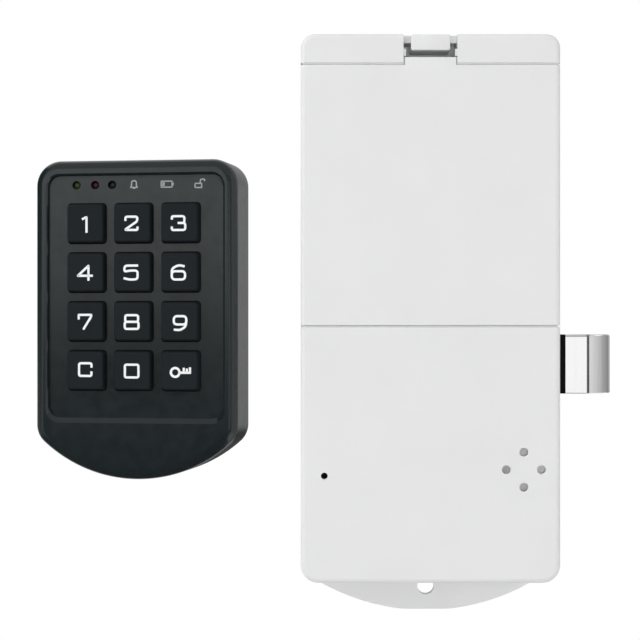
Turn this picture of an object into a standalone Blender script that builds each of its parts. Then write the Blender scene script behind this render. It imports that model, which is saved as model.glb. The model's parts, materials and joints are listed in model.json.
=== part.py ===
"""Electronic cabinet lock: a keypad unit for the outside of a door and a lock unit for its inside.

Both units stand upright. X runs to the right, Z up, and the fronts face -Y. The origin is the
middle of the back face of the lock unit's base plate, which lies on the door.
"""

import math

import bmesh
import bpy
from mathutils import Matrix, Vector

MM = 0.001

# Clearances and joins
GAP = 0.3 * MM
SEAM = 0.5 * MM
OVERRUN = 1.0 * MM
WELD = 0.2 * MM

# Facets
CORNER_STEPS = 3
EDGE_STEPS = 3
ROUND_SEGMENTS = 16
SMALL_SEGMENTS = 10
SMOOTH_ANGLE = math.radians(35)

# Lock unit, outside
LOWER_HEIGHT = 64.3 * MM
RIM_HEIGHT = 7.55 * MM
LOCK_DEPTH = 24.0 * MM
LOCK_TOP_RADIUS = 3.5 * MM
LOCK_BOTTOM_RADIUS = 4.5 * MM
LOCK_EDGE_ROUND = 1.2 * MM
SIDE_WALL = 2.0 * MM
TRAY_SIDE_WALL = 2.8 * MM
FRONT_WALL = 2.2 * MM
CAVITY_RADIUS = 2.5 * MM

LOCK_FRONT = -LOCK_DEPTH
CAVITY_FRONT = LOCK_FRONT + FRONT_WALL

# Base plate and its flange
PLATE_THICKNESS = 2.5 * MM
FLANGE_SHOULDER = 2.65 * MM
FLANGE_REACH = 9.85 * MM
FLANGE_FLAT_DROP = 0.3 * MM
FLANGE_STEPS = 6
DOOR_SCREW_HOLE_RADIUS = 2.2 * MM
FLANGE_HOLE_DROP = 3.75 * MM
UPPER_HOLE_X = 18.0 * MM
UPPER_HOLE_Z = 40.0 * MM
DRIVER_HOLE_RADIUS = 4.0 * MM
PLATE_RIB_WIDTH = 1.2 * MM
PLATE_RIB_HEIGHT = 1.5 * MM
PLATE_RIB_HALF_LENGTH = 52.0 * MM
PLATE_LOWER_RIB_HALF_LENGTH = 18.0 * MM
CABLE_WINDOW_INSET = 13.5 * MM
CABLE_WINDOW_Z = -33.0 * MM
CABLE_WINDOW_WIDTH = 13.0 * MM
CABLE_WINDOW_HEIGHT = 9.0 * MM
CABLE_WINDOW_RADIUS = 1.0 * MM

PLATE_FRONT = -PLATE_THICKNESS
HOUSING_BACK = PLATE_FRONT - GAP

# Battery cells and their compartment
CELL_COUNT = 4
CELL_RADIUS = 7.25 * MM
CELL_LENGTH = 50.5 * MM
CELL_NUB_RADIUS = 2.75 * MM
CELL_NUB_HEIGHT = 1.2 * MM
CELL_EDGE = 0.5 * MM
CELL_SIDE_ROOM = 0.25 * MM
CELL_FRONT_ROOM = 0.4 * MM
CONTACT_THICKNESS = 0.4 * MM
CONTACT_WIDTH = 10.0 * MM
CONTACT_BUTTON_HEIGHT = 0.6 * MM
CONTACT_BUTTON_RADIUS = 2.2 * MM
CONTACT_SPRING_LENGTH = 4.6 * MM
CONTACT_SPRING_WIDE = 3.6 * MM
CONTACT_SPRING_NARROW = 2.2 * MM
CONTACT_WIRE_RADIUS = 0.35 * MM
CONTACT_SPRING_TURNS = 3
TRAY_FLOOR = 1.2 * MM
TRAY_END_WALL = 1.5 * MM
TRAY_RIB_WIDTH = 1.2 * MM
TRAY_RIB_HEIGHT = 2.5 * MM

# Battery cover
COVER_SEAM_LOW = -4.45 * MM
LOWER_LEDGE = 5.45 * MM
UPPER_LEDGE = 2.5 * MM
COVER_WALL = 1.6 * MM
SKIRT_WALL = 1.5 * MM
SKIRT_DEPTH = 5.0 * MM

TRAY_BOTTOM = COVER_SEAM_LOW + LOWER_LEDGE
TRAY_LENGTH = (
    CELL_LENGTH + CONTACT_SPRING_LENGTH + CONTACT_BUTTON_HEIGHT + 2 * CONTACT_THICKNESS + 4 * GAP
)
TRAY_TOP = TRAY_BOTTOM + TRAY_LENGTH
TRAY_MIDDLE = (TRAY_BOTTOM + TRAY_TOP) / 2
COVER_SEAM_HIGH = TRAY_TOP + UPPER_LEDGE
LOCK_TOP = COVER_SEAM_HIGH + RIM_HEIGHT
LOCK_BOTTOM = COVER_SEAM_LOW - LOWER_HEIGHT
CAVITY_TOP = LOCK_TOP - SIDE_WALL
CAVITY_BOTTOM = LOCK_BOTTOM + SIDE_WALL
FLANGE_BOTTOM = LOCK_BOTTOM - FLANGE_REACH
FLANGE_HOLE_Z = LOCK_BOTTOM - FLANGE_HOLE_DROP
COVER_BOTTOM = COVER_SEAM_LOW + SEAM / 2
COVER_TOP = COVER_SEAM_HIGH - SEAM / 2
COVER_BACK = LOCK_FRONT + COVER_WALL
SKIRT_BACK = LOCK_FRONT + SKIRT_DEPTH
LEDGE_FRONT = COVER_BACK + GAP
LEDGE_BACK = LEDGE_FRONT + SIDE_WALL
CELL_PITCH = 2 * CELL_RADIUS + GAP
CELL_Y = COVER_BACK + CELL_FRONT_ROOM + CELL_RADIUS
TRAY_FLOOR_FRONT = CELL_Y + CELL_RADIUS + GAP
TRAY_FLOOR_BACK = TRAY_FLOOR_FRONT + TRAY_FLOOR
TRAY_HALF = (CELL_COUNT - 1) * CELL_PITCH / 2 + CELL_RADIUS + CELL_SIDE_ROOM
LOCK_HALF = TRAY_HALF + TRAY_SIDE_WALL
CAVITY_HALF = LOCK_HALF - SIDE_WALL
SKIRT_INNER = LOCK_HALF - SKIRT_WALL
FLANGE_HALF = LOCK_HALF - LOCK_BOTTOM_RADIUS
FLANGE_SAG = FLANGE_REACH + FLANGE_FLAT_DROP - FLANGE_SHOULDER
FLANGE_RADIUS = (FLANGE_HALF**2 + FLANGE_SAG**2) / (2 * FLANGE_SAG)
FLANGE_CENTRE_Z = FLANGE_BOTTOM - FLANGE_FLAT_DROP + FLANGE_RADIUS

# Cover hooks at the lower seam
HOOK_X = 18.0 * MM
HOOK_WIDTH = 8.0 * MM
HOOK_ARM = 1.2 * MM
HOOK_FINGER = 1.2 * MM
HOOK_DROP = 2.0 * MM
HOOK_WINDOW_TOP = 4.6 * MM

# Notch and clip at the upper seam
NOTCH_WIDTH = 13.5 * MM
NOTCH_OPEN_DEPTH = 3.5 * MM
POCKET_DEPTH = 9.5 * MM
POCKET_ROOF_DROP = 1.85 * MM
TONGUE_RISE = 1.7 * MM
CLIP_WIDTH = 9.8 * MM
CLIP_TOP_DROP = 0.15 * MM
CLIP_TAB_HEIGHT = 3.9 * MM
CLIP_TAB_THICKNESS = 1.5 * MM
CLIP_TAB_SET_BACK = 0.2 * MM
CLIP_LEG_THICKNESS = 1.2 * MM
CLIP_NOSE_HEIGHT = 0.5 * MM
CLIP_NOSE_LENGTH = 1.4 * MM
CLIP_NOSE_SETBACK = 6.2 * MM
CLIP_ARM_THICKNESS = 1.0 * MM
CLIP_ARM_WIDTH = 8.8 * MM
RIM_HOLLOW_INNER = 8.5 * MM

NOTCH_HALF = NOTCH_WIDTH / 2
POCKET_BACK = LOCK_FRONT + POCKET_DEPTH
POCKET_ROOF = LOCK_TOP - POCKET_ROOF_DROP
POCKET_FLOOR = COVER_SEAM_HIGH + SEAM / 2
TONGUE_TOP = COVER_SEAM_HIGH + TONGUE_RISE
TAB_TOP = LOCK_TOP - CLIP_TOP_DROP
TAB_BOTTOM = TAB_TOP - CLIP_TAB_HEIGHT
TAB_FRONT = LOCK_FRONT + CLIP_TAB_SET_BACK
TAB_BACK = TAB_FRONT + CLIP_TAB_THICKNESS
CLIP_ROOT = POCKET_BACK - GAP

# Openings of the front wall
PIN_HOLE_INSET = 5.9 * MM
PIN_HOLE_Z = -41.9 * MM
PIN_HOLE_RADIUS = 0.85 * MM
BUZZER_INSET = 9.2 * MM
BUZZER_Z = -40.3 * MM
BUZZER_HOLE_RADIUS = 1.1 * MM
BUZZER_HOLE_OFFSET = 4.4 * MM

PIN_HOLE_X = -LOCK_HALF + PIN_HOLE_INSET
BUZZER_X = LOCK_HALF - BUZZER_INSET
CABLE_WINDOW_X = -LOCK_HALF + CABLE_WINDOW_INSET

# Screws of the lock unit
HOUSING_SCREW_INSET = 6.9 * MM
HOUSING_SCREW_TOP_DROP = 5.15 * MM
HOUSING_SCREW_BOTTOM_RISE = 7.15 * MM
HOUSING_BOSS_RADIUS = 2.7 * MM
SCREW_SHANK_RADIUS = 1.2 * MM
SCREW_HEAD_RADIUS = 2.2 * MM
SCREW_HEAD_HEIGHT = 1.3 * MM
SCREW_SINK = 0.3 * MM
SCREW_LENGTH = 10.0 * MM
SCREW_SLOT_WIDTH = 0.6 * MM
SCREW_SLOT_DEPTH = 0.5 * MM
SHORT_SCREW_LENGTH = 6.0 * MM

HOUSING_SCREW_X = LOCK_HALF - HOUSING_SCREW_INSET

# Bolt
BOLT_CENTRE_Z = -14.1 * MM
BOLT_HEIGHT = 15.0 * MM
BOLT_DEPTH = 10.0 * MM
BOLT_BACK = -6.0 * MM
BOLT_REACH = 14.6 * MM
BAND_WIDTH = 2.3 * MM
BOLT_FLAT_LENGTH = 5.4 * MM
BOLT_GROOVE_WIDTH = 0.7 * MM
BOLT_GROOVE_DEPTH = 0.7 * MM
BOLT_SLOPE_START = 0.4 * MM
BOLT_TIP_LAND = 2.4 * MM
BOLT_SLOPE_STEPS = 8
BOLT_EDGE = 0.35 * MM
TENON_LENGTH = 5.0 * MM
TENON_HEIGHT = 9.0 * MM
TENON_DEPTH = 5.0 * MM
CARRIER_GUIDE_LENGTH = 11.8 * MM
CARRIER_LENGTH = 32.5 * MM
CARRIER_TOP_STEP = 0.8 * MM
SPRING_PIN_RADIUS = 1.2 * MM
SPRING_PIN_LENGTH = 3.0 * MM

BOLT_TOP = BOLT_CENTRE_Z + BOLT_HEIGHT / 2
BOLT_BOTTOM = BOLT_CENTRE_Z - BOLT_HEIGHT / 2
BOLT_FRONT = BOLT_BACK - BOLT_DEPTH
BOLT_MIDDLE_Y = BOLT_BACK - BOLT_DEPTH / 2
BOLT_TIP_X = LOCK_HALF + BOLT_REACH
NOSE_BACK_X = LOCK_HALF + BAND_WIDTH
CARRIER_END_X = NOSE_BACK_X - GAP / 2
CARRIER_GUIDE_X = CARRIER_END_X - CARRIER_GUIDE_LENGTH
CARRIER_TAIL_X = CARRIER_END_X - CARRIER_LENGTH

# Rack and gears
PRESSURE_ANGLE = math.radians(25)
ADDENDUM_share = 0.9
DEDENDUM_share = 1.25
BACKLASH = 0.12 * MM
PINION_FLANK_STEPS = 2
WHEEL_FLANK_STEPS = 1
RACK_MODULE = 0.8 * MM
RACK_TEETH = 7
RACK_WIDTH = 7.0 * MM
PINION_TEETH = 12
PINION_WIDTH = 6.0 * MM
WHEEL_MODULE = 0.6 * MM
WHEEL_TEETH = 36
WHEEL_THICKNESS = 2.2 * MM
WHEEL_HUB_RADIUS = 3.4 * MM
MOTOR_PINION_TEETH = 12
MOTOR_PINION_WIDTH = 2.6 * MM
GEAR_PIN_RADIUS = 1.0 * MM
GEAR_INSET = 24.5 * MM
WHEEL_FRONT_ROOM = 1.0 * MM
MOTOR_DIRECTION = math.radians(240)

RACK_PITCH_Z = BOLT_BOTTOM + BOLT_EDGE / 2 - DEDENDUM_share * RACK_MODULE
PINION_PITCH_RADIUS = PINION_TEETH * RACK_MODULE / 2
WHEEL_PITCH_RADIUS = WHEEL_TEETH * WHEEL_MODULE / 2
MOTOR_PINION_PITCH_RADIUS = MOTOR_PINION_TEETH * WHEEL_MODULE / 2
GEAR_X = LOCK_HALF - GEAR_INSET
GEAR_Z = RACK_PITCH_Z - PINION_PITCH_RADIUS
GEAR_DISTANCE = WHEEL_PITCH_RADIUS + MOTOR_PINION_PITCH_RADIUS
MOTOR_X = GEAR_X + GEAR_DISTANCE * math.cos(MOTOR_DIRECTION)
MOTOR_Z = GEAR_Z + GEAR_DISTANCE * math.sin(MOTOR_DIRECTION)
WHEEL_FRONT = CAVITY_FRONT + WHEEL_FRONT_ROOM
WHEEL_BACK = WHEEL_FRONT + WHEEL_THICKNESS
PINION_BACK = BOLT_MIDDLE_Y + PINION_WIDTH / 2
PINION_FRONT = PINION_BACK - PINION_WIDTH

# Mechanism frame
FRAME_THICKNESS = 2.0 * MM
SPRING_SPACE = 24.85 * MM
FRAME_TOP = -4.3 * MM
FRAME_LOWER_TOP = -24.4 * MM
FRAME_FOOT_BACKWARD = 15.6 * MM
FRAME_FOOT_FORWARD = 7.5 * MM
FRAME_FOOT_BOTTOM = -48.2 * MM
RAIL_UPPER_LENGTH = 24.0 * MM
RAIL_THICKNESS = 2.0 * MM
LIP_THICKNESS = 1.2 * MM
LIP_REACH = 2.4 * MM
POST_THICKNESS = 1.9 * MM
POST_HEIGHT = 10.0 * MM
FRAME_FOOT_RADIUS = 2.5 * MM
FRAME_SCREW_BACKWARD = 22.0 * MM
FRAME_SCREW_LEFT_Z = -20.5 * MM
FRAME_SCREW_FORWARD = 3.5 * MM
FRAME_SCREW_RIGHT_Z = -43.5 * MM
PIN_BOSS_RADIUS = 3.0 * MM
PIN_SEAT_DEPTH = 1.5 * MM
COLLAR_WALL = 1.3 * MM
COLLAR_HEIGHT = 5.0 * MM

FRAME_FRONT = BOLT_BACK + GAP
FRAME_BACK = FRAME_FRONT + FRAME_THICKNESS
FRAME_RIGHT = CAVITY_HALF - GAP
FRAME_LEFT = CARRIER_TAIL_X - SPRING_SPACE - POST_THICKNESS
FRAME_FOOT_LEFT = GEAR_X - FRAME_FOOT_BACKWARD
FRAME_FOOT_RIGHT = GEAR_X + FRAME_FOOT_FORWARD
POST_FRONT = BOLT_MIDDLE_Y - SPRING_PIN_RADIUS - FRAME_THICKNESS

# Motor
MOTOR_RADIUS = 6.0 * MM
MOTOR_FLAT = 5.0 * MM
MOTOR_BACK = PLATE_FRONT - GAP
MOTOR_LENGTH = 14.9 * MM
MOTOR_BOSS_RADIUS = 2.0 * MM
MOTOR_BOSS_HEIGHT = 0.5 * MM
MOTOR_SHAFT_RADIUS = 0.75 * MM
MOTOR_SHAFT_DEPTH = 3.0 * MM
MOTOR_EDGE = 0.6 * MM

MOTOR_FRONT = MOTOR_BACK - MOTOR_LENGTH
MOTOR_PINION_MIDDLE_Y = (WHEEL_FRONT + WHEEL_BACK) / 2

# Bolt spring
SPRING_RADIUS = 2.5 * MM
SPRING_WIRE_RADIUS = 0.35 * MM
SPRING_TURNS = 7
COIL_POINTS = 8
COIL_SIDES = 5

# Main circuit board
BOARD_THICKNESS = 1.6 * MM
BOARD_SIDE_ROOM = 1.0 * MM
BOARD_BOTTOM = -58.0 * MM
BOARD_BAND_TOP = -50.2 * MM
BOARD_LEFT_TOP = -23.0 * MM
BOARD_LEFT_WIDTH = 19.5 * MM
BOARD_RIGHT_TOP = -33.0 * MM
BOARD_RIGHT_WIDTH = 13.0 * MM
BOARD_SCREW_LEFT_INSET = 16.0 * MM
BOARD_SCREW_RIGHT_INSET = 12.5 * MM
BOARD_SCREW_Z = -54.0 * MM
BOARD_BOSS_RADIUS = 2.5 * MM
CHIP_SIZE = 7.0 * MM
CHIP_HEIGHT = 1.4 * MM
SMALL_CHIP_WIDTH = 5.0 * MM
SMALL_CHIP_LENGTH = 4.0 * MM
CAPACITOR_RADIUS = 2.5 * MM
CAPACITOR_HEIGHT = 5.5 * MM
CHIP_PLACE_share = (0.35, 0.62)

# Buzzer, reset switch and cable socket
BUZZER_RADIUS = 6.0 * MM
BUZZER_HEIGHT = 8.0 * MM
BUZZER_FRONT_ROOM = 0.5 * MM
BUZZER_PORT_RADIUS = 1.2 * MM
BUZZER_PORT_DEPTH = 1.5 * MM
BUZZER_EDGE = 0.5 * MM
SWITCH_SIZE = 6.0 * MM
SWITCH_HEIGHT = 3.5 * MM
SWITCH_BORE_DEPTH = 2.2 * MM
PLUNGER_RADIUS = 1.2 * MM
PLUNGER_FRONT_ROOM = 0.6 * MM
PLUNGER_TRAVEL = 0.4 * MM
SOCKET_WIDTH = 10.0 * MM
SOCKET_HEIGHT = 5.4 * MM
SOCKET_LENGTH = 5.5 * MM
SOCKET_WALL = 1.0 * MM

BOARD_LEFT = -CAVITY_HALF + BOARD_SIDE_ROOM
BOARD_RIGHT = CAVITY_HALF - BOARD_SIDE_ROOM
BOARD_SCREW_LEFT_X = -LOCK_HALF + BOARD_SCREW_LEFT_INSET
BOARD_SCREW_RIGHT_X = LOCK_HALF - BOARD_SCREW_RIGHT_INSET
BUZZER_FRONT = CAVITY_FRONT + BUZZER_FRONT_ROOM
BOARD_FRONT = BUZZER_FRONT + BUZZER_HEIGHT + GAP
BOARD_BACK = BOARD_FRONT + BOARD_THICKNESS

# Keypad unit, outside; in its own frame the origin is the middle of its back
KEYPAD_X = -72.07 * MM
KEYPAD_Z = -2.8 * MM
KEYPAD_YAW = math.radians(-9.5)
KEYPAD_WIDTH = 52.5 * MM
KEYPAD_HEIGHT = 81.0 * MM
KEYPAD_DEPTH = 15.1 * MM
KEYPAD_TOP_RADIUS = 6.4 * MM
KEYPAD_LOWER_RADIUS = 6.0 * MM
KEYPAD_ARC_RADIUS = 36.5 * MM
KEYPAD_EDGE_ROUND = 2.4 * MM
KEYPAD_WALL = 2.0 * MM
KEYPAD_ARC_STEPS = 12

KEYPAD_HALF = KEYPAD_WIDTH / 2
KEYPAD_Y = KEYPAD_HALF * math.sin(KEYPAD_YAW)
KEYPAD_TOP = KEYPAD_HEIGHT / 2
KEYPAD_FRONT = -KEYPAD_DEPTH

# Recessed panel
PANEL_WIDTH = 45.6 * MM
PANEL_TOP_DROP = 3.9 * MM
PANEL_HEIGHT = 62.2 * MM
PANEL_RADIUS = 3.0 * MM
PANEL_RECESS = 0.7 * MM
PANEL_DRAFT = 0.55 * MM
PANEL_WALL = 1.6 * MM

PANEL_FACE = KEYPAD_FRONT + PANEL_RECESS
PANEL_BACK = PANEL_FACE + PANEL_WALL
PANEL_TOP = KEYPAD_TOP - PANEL_TOP_DROP

# Keys
KEY_COLUMNS = 3
KEY_ROWS = 4
KEY_PITCH_X = 12.25 * MM
KEY_PITCH_Z = 12.42 * MM
KEY_WIDTH = 10.0 * MM
KEY_HEIGHT = 10.2 * MM
KEY_DRAFT = 0.3 * MM
KEY_RADIUS = 0.9 * MM
KEY_RISE = 2.2 * MM
KEY_EDGE = 0.25 * MM
KEY_FLANGE = 0.45 * MM
KEY_FLANGE_THICKNESS = 1.0 * MM
KEY_FIELD_X = -0.3 * MM
KEY_FIRST_DROP = 16.1 * MM
KEY_STEPS = 2
KEY_NAMES = (
    ("key_1", "key_2", "key_3"),
    ("key_4", "key_5", "key_6"),
    ("key_7", "key_8", "key_9"),
    ("key_clear", "key_0", "key_enter"),
)

KEY_HOLE_WIDTH = KEY_WIDTH + 2 * GAP
KEY_HOLE_HEIGHT = KEY_HEIGHT + 2 * GAP
KEY_FLANGE_FRONT = PANEL_BACK + GAP
KEY_FLANGE_BACK = KEY_FLANGE_FRONT + KEY_FLANGE_THICKNESS
KEY_FACE = PANEL_FACE - KEY_RISE
KEY_FIRST_Z = KEYPAD_TOP - KEY_FIRST_DROP

# Rubber mat
DOME_HEIGHT = 2.2 * MM
DOME_WIDE = 3.4 * MM
DOME_NARROW = 2.0 * MM
DOME_SKIRT_share = 0.35
MAT_THICKNESS = 1.0 * MM
MAT_MARGIN = 1.2 * MM

DOME_TOP = KEY_FLANGE_BACK + GAP
MAT_FRONT = DOME_TOP + DOME_HEIGHT
MAT_BACK = MAT_FRONT + MAT_THICKNESS

# Status lamps
LAMP_DROP = 6.3 * MM
LAMP_PLACES = (("lamp_green", -15.4 * MM), ("lamp_red", -10.5 * MM), ("lamp_open", -6.05 * MM))
LAMP_RADIUS = 1.0 * MM
LAMP_BASE_RADIUS = 1.6 * MM
LAMP_DOME = 0.6 * MM
LAMP_SINK = 0.2 * MM

LAMP_Z = KEYPAD_TOP - LAMP_DROP

# Keypad circuit board, socket and back plate
KEYPAD_BOARD_HALF = 22.9 * MM
KEYPAD_BOARD_TOP = 36.0 * MM
KEYPAD_BOARD_BOTTOM = -22.0 * MM
KEYPAD_BOARD_THICKNESS = 1.4 * MM
KEYPAD_BOARD_RADIUS = 4.0 * MM
KEYPAD_BOSS_X = 20.6 * MM
KEYPAD_BOSS_Z = (20.0 * MM, -16.5 * MM)
KEYPAD_BOSS_RADIUS = 1.8 * MM
KEYPAD_BOSS_PIN_RADIUS = 0.9 * MM
KEYPAD_CHIP_WIDTH = 8.0 * MM
KEYPAD_CHIP_HEIGHT = 1.2 * MM
KEYPAD_CHIP_Z = 26.0 * MM
KEYPAD_WINDOW_Z = 3.0 * MM
KEYPAD_WINDOW_WIDTH = 14.0 * MM
KEYPAD_WINDOW_HEIGHT = 9.0 * MM
KEYPAD_WINDOW_RADIUS = 1.0 * MM
KEYPAD_SOCKET_LENGTH = 3.0 * MM
KEYPAD_SOCKET_Z = 13.5 * MM
BACK_PLATE_THICKNESS = 1.8 * MM
BACK_PLATE_STEP = 1.0 * MM
KEYPAD_SCREW_X = 9.0 * MM
KEYPAD_SCREW_Z = -30.5 * MM
KEYPAD_SCREW_BOSS_RADIUS = 2.7 * MM
INSERT_Z = (24.0 * MM, -14.0 * MM)
INSERT_RADIUS = 2.6 * MM
INSERT_BORE_RADIUS = 1.6 * MM
INSERT_BOSS_WALL = 1.3 * MM
INSERT_BOSS_HEIGHT = 1.6 * MM

KEYPAD_BOARD_FRONT = MAT_BACK + GAP
KEYPAD_BOARD_BACK = KEYPAD_BOARD_FRONT + KEYPAD_BOARD_THICKNESS
BACK_PLATE_FRONT = -BACK_PLATE_THICKNESS
REBATE_FRONT = BACK_PLATE_FRONT - GAP


def material(name, colour, roughness, metallic=0.0):
    """Principled material, made once for each name."""
    found = bpy.data.materials.get(name)
    if found:
        return found
    new = bpy.data.materials.new(name)
    new.use_nodes = True
    shader = new.node_tree.nodes["Principled BSDF"]
    shader.inputs["Base Color"].default_value = (*colour, 1.0)
    shader.inputs["Roughness"].default_value = roughness
    shader.inputs["Metallic"].default_value = metallic
    return new


def pale_plastic():
    return material("pale_plastic", (0.74, 0.75, 0.74), 0.45)


def dark_plastic():
    return material("dark_plastic", (0.025, 0.03, 0.031), 0.4)


def key_plastic():
    return material("key_plastic", (0.014, 0.017, 0.019), 0.38)


def black_plastic():
    return material("black_plastic", (0.012, 0.012, 0.012), 0.5)


def nylon():
    return material("nylon", (0.8, 0.78, 0.7), 0.5)


def chrome():
    return material("chrome", (0.75, 0.75, 0.76), 0.12, 1.0)


def steel():
    return material("steel", (0.5, 0.5, 0.5), 0.35, 1.0)


def brass():
    return material("brass", (0.72, 0.52, 0.22), 0.35, 1.0)


def board_green():
    return material("board_green", (0.02, 0.14, 0.06), 0.45)


def silicone():
    return material("silicone", (0.35, 0.36, 0.36), 0.7)


def cell_jacket():
    return material("cell_jacket", (0.1, 0.12, 0.16), 0.35)


def lens(name, colour):
    return material(name, colour, 0.25)


def finish_mesh(name, mesh, look=None):
    """Turn a closed bmesh into a linked object with outward faces."""
    bmesh.ops.recalc_face_normals(mesh, faces=mesh.faces)
    data = bpy.data.meshes.new(name)
    mesh.to_mesh(data)
    mesh.free()
    obj = bpy.data.objects.new(name, data)
    if look:
        data.materials.append(look)
    bpy.context.scene.collection.objects.link(obj)
    return obj


def loft(name, sections, look=None):
    """Closed solid through (y, outline) sections whose outlines have equal numbers of points."""
    mesh = bmesh.new()
    rings = [[mesh.verts.new((x, y, z)) for x, z in outline] for y, outline in sections]
    mesh.faces.new(rings[0])
    mesh.faces.new(reversed(rings[-1]))
    for near, far in zip(rings, rings[1:]):
        for index in range(len(near)):
            after = (index + 1) % len(near)
            mesh.faces.new((near[index], near[after], far[after], far[index]))
    return finish_mesh(name, mesh, look)


def prism(name, outline, front, back, look=None):
    """Outline in X and Z, extruded along Y."""
    return loft(name, [(front, outline), (back, outline)], look)


def box(name, low, high, look=None):
    """Rectangular block between two corners."""
    outline = [(low[0], low[2]), (high[0], low[2]), (high[0], high[2]), (low[0], high[2])]
    return prism(name, outline, low[1], high[1], look)


def arc_points(centre, radius, start, end, steps):
    """Points of an arc in the X and Z plane, both ends included."""
    angles = [start + (end - start) * step / steps for step in range(steps + 1)]
    return [(centre[0] + radius * math.cos(a), centre[1] + radius * math.sin(a)) for a in angles]


def rounded_outline(low, high, lower_radius, upper_radius, steps=CORNER_STEPS):
    """Rectangle between two corners with rounded lower and upper corners."""
    quarter = math.pi / 2
    corners = (
        ((low[0] + lower_radius, low[1] + lower_radius), lower_radius, 2 * quarter),
        ((high[0] - lower_radius, low[1] + lower_radius), lower_radius, 3 * quarter),
        ((high[0] - upper_radius, high[1] - upper_radius), upper_radius, 0),
        ((low[0] + upper_radius, high[1] - upper_radius), upper_radius, quarter),
    )
    points = []
    for centre, radius, start in corners:
        points += arc_points(centre, radius, start, start + quarter, steps)
    return points


def centred_outline(centre, width, height, radius, steps=CORNER_STEPS):
    """Rounded rectangle about a centre."""
    low = (centre[0] - width / 2, centre[1] - height / 2)
    high = (centre[0] + width / 2, centre[1] + height / 2)
    return rounded_outline(low, high, radius, radius, steps)


def circle(centre, radius, segments=ROUND_SEGMENTS):
    """Full circle in the X and Z plane."""
    turn = 2 * math.pi
    return arc_points(centre, radius, 0, turn * (segments - 1) / segments, segments - 1)


def turned(name, profile, centre, axis, segments, look=None):
    """Solid of revolution from (radius, distance) points; it starts and ends on its axis."""
    mesh = bmesh.new()
    along = {"X": Vector((1, 0, 0)), "Y": Vector((0, 1, 0)), "Z": Vector((0, 0, 1))}[axis]
    across = {"X": Vector((0, 1, 0)), "Y": Vector((0, 0, 1)), "Z": Vector((1, 0, 0))}[axis]
    side = along.cross(across)
    rings = []
    for radius, distance in profile:
        middle = Vector(centre) + along * distance
        if radius == 0:
            rings.append([mesh.verts.new(middle)])
            continue
        turns = [2 * math.pi * index / segments for index in range(segments)]
        ring = [middle + radius * (math.cos(a) * across + math.sin(a) * side) for a in turns]
        rings.append([mesh.verts.new(point) for point in ring])
    for near, far in zip(rings, rings[1:]):
        for index in range(segments):
            after = (index + 1) % segments
            if len(near) == 1:
                mesh.faces.new((near[0], far[index], far[after]))
            elif len(far) == 1:
                mesh.faces.new((near[index], far[0], near[after]))
            else:
                mesh.faces.new((near[index], far[index], far[after], near[after]))
    return finish_mesh(name, mesh, look)


def rod(name, radius, start, end, centre, axis="Y", segments=ROUND_SEGMENTS, look=None):
    """Plain cylinder between two distances along its axis."""
    profile = [(0, start), (radius, start), (radius, end), (0, end)]
    return turned(name, profile, centre, axis, segments, look)


def tube_along(name, path, radius, sides, look=None):
    """Round wire along a list of points, with flat ends."""
    mesh = bmesh.new()
    rings = []
    normal = None
    for index, point in enumerate(path):
        before = path[max(index - 1, 0)]
        after = path[min(index + 1, len(path) - 1)]
        direction = (after - before).normalized()
        if normal is None:
            normal = direction.orthogonal().normalized()
        normal = (normal - direction * normal.dot(direction)).normalized()
        side = direction.cross(normal)
        turns = [2 * math.pi * step / sides for step in range(sides)]
        ring = [point + radius * (math.cos(a) * normal + math.sin(a) * side) for a in turns]
        rings.append([mesh.verts.new(corner) for corner in ring])
    mesh.faces.new(rings[0])
    mesh.faces.new(reversed(rings[-1]))
    for near, far in zip(rings, rings[1:]):
        for index in range(sides):
            after = (index + 1) % sides
            mesh.faces.new((near[index], near[after], far[after], far[index]))
    return finish_mesh(name, mesh, look)


def settle(obj):
    """Replace an object's mesh by its evaluated one and drop its modifiers."""
    bpy.context.view_layer.update()
    graph = bpy.context.evaluated_depsgraph_get()
    data = bpy.data.meshes.new_from_object(obj.evaluated_get(graph))
    old = obj.data
    obj.modifiers.clear()
    obj.data = data
    bpy.data.meshes.remove(old)


def combine(target, tool, operation):
    """Boolean with a tool that is used up."""
    modifier = target.modifiers.new(operation.title(), "BOOLEAN")
    modifier.operation = operation
    modifier.solver = "EXACT"
    modifier.object = tool
    settle(target)
    bpy.data.objects.remove(tool)


def cut(target, *tools):
    for tool in tools:
        combine(target, tool, "DIFFERENCE")


def join(target, *tools):
    for tool in tools:
        combine(target, tool, "UNION")


def move_origin(obj, point):
    """Put an object's origin on its joint axis without moving its mesh."""
    place = Vector(point)
    obj.data.transform(Matrix.Translation(-place))
    obj.location = place


def gear_outline(centre, teeth, module, first_tooth, flank_steps):
    """Involute spur gear; first_tooth is the angle of one tooth's middle."""
    pitch = teeth * module / 2
    base = pitch * math.cos(PRESSURE_ANGLE)
    tip = pitch + ADDENDUM_share * module
    root = pitch - DEDENDUM_share * module

    def half_angle(radius):
        roll = math.acos(min(1.0, base / radius))
        involute = math.tan(roll) - roll
        at_pitch = math.tan(PRESSURE_ANGLE) - PRESSURE_ANGLE
        return math.pi / (2 * teeth) - BACKLASH / (2 * pitch) + at_pitch - involute

    low = max(base, root)
    radii = [low + (tip - low) * step / flank_steps for step in range(flank_steps + 1)]
    flank = [(radius, half_angle(radius)) for radius in radii]
    if root < base:
        flank.insert(0, (root, half_angle(low)))
    points = []
    for tooth in range(teeth):
        middle = first_tooth + 2 * math.pi * tooth / teeth
        rising = [(radius, middle - spread) for radius, spread in flank]
        falling = [(radius, middle + spread) for radius, spread in reversed(flank)]
        for radius, angle in rising + falling:
            place = (centre[0] + radius * math.cos(angle), centre[1] + radius * math.sin(angle))
            points.append(place)
    return points


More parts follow.
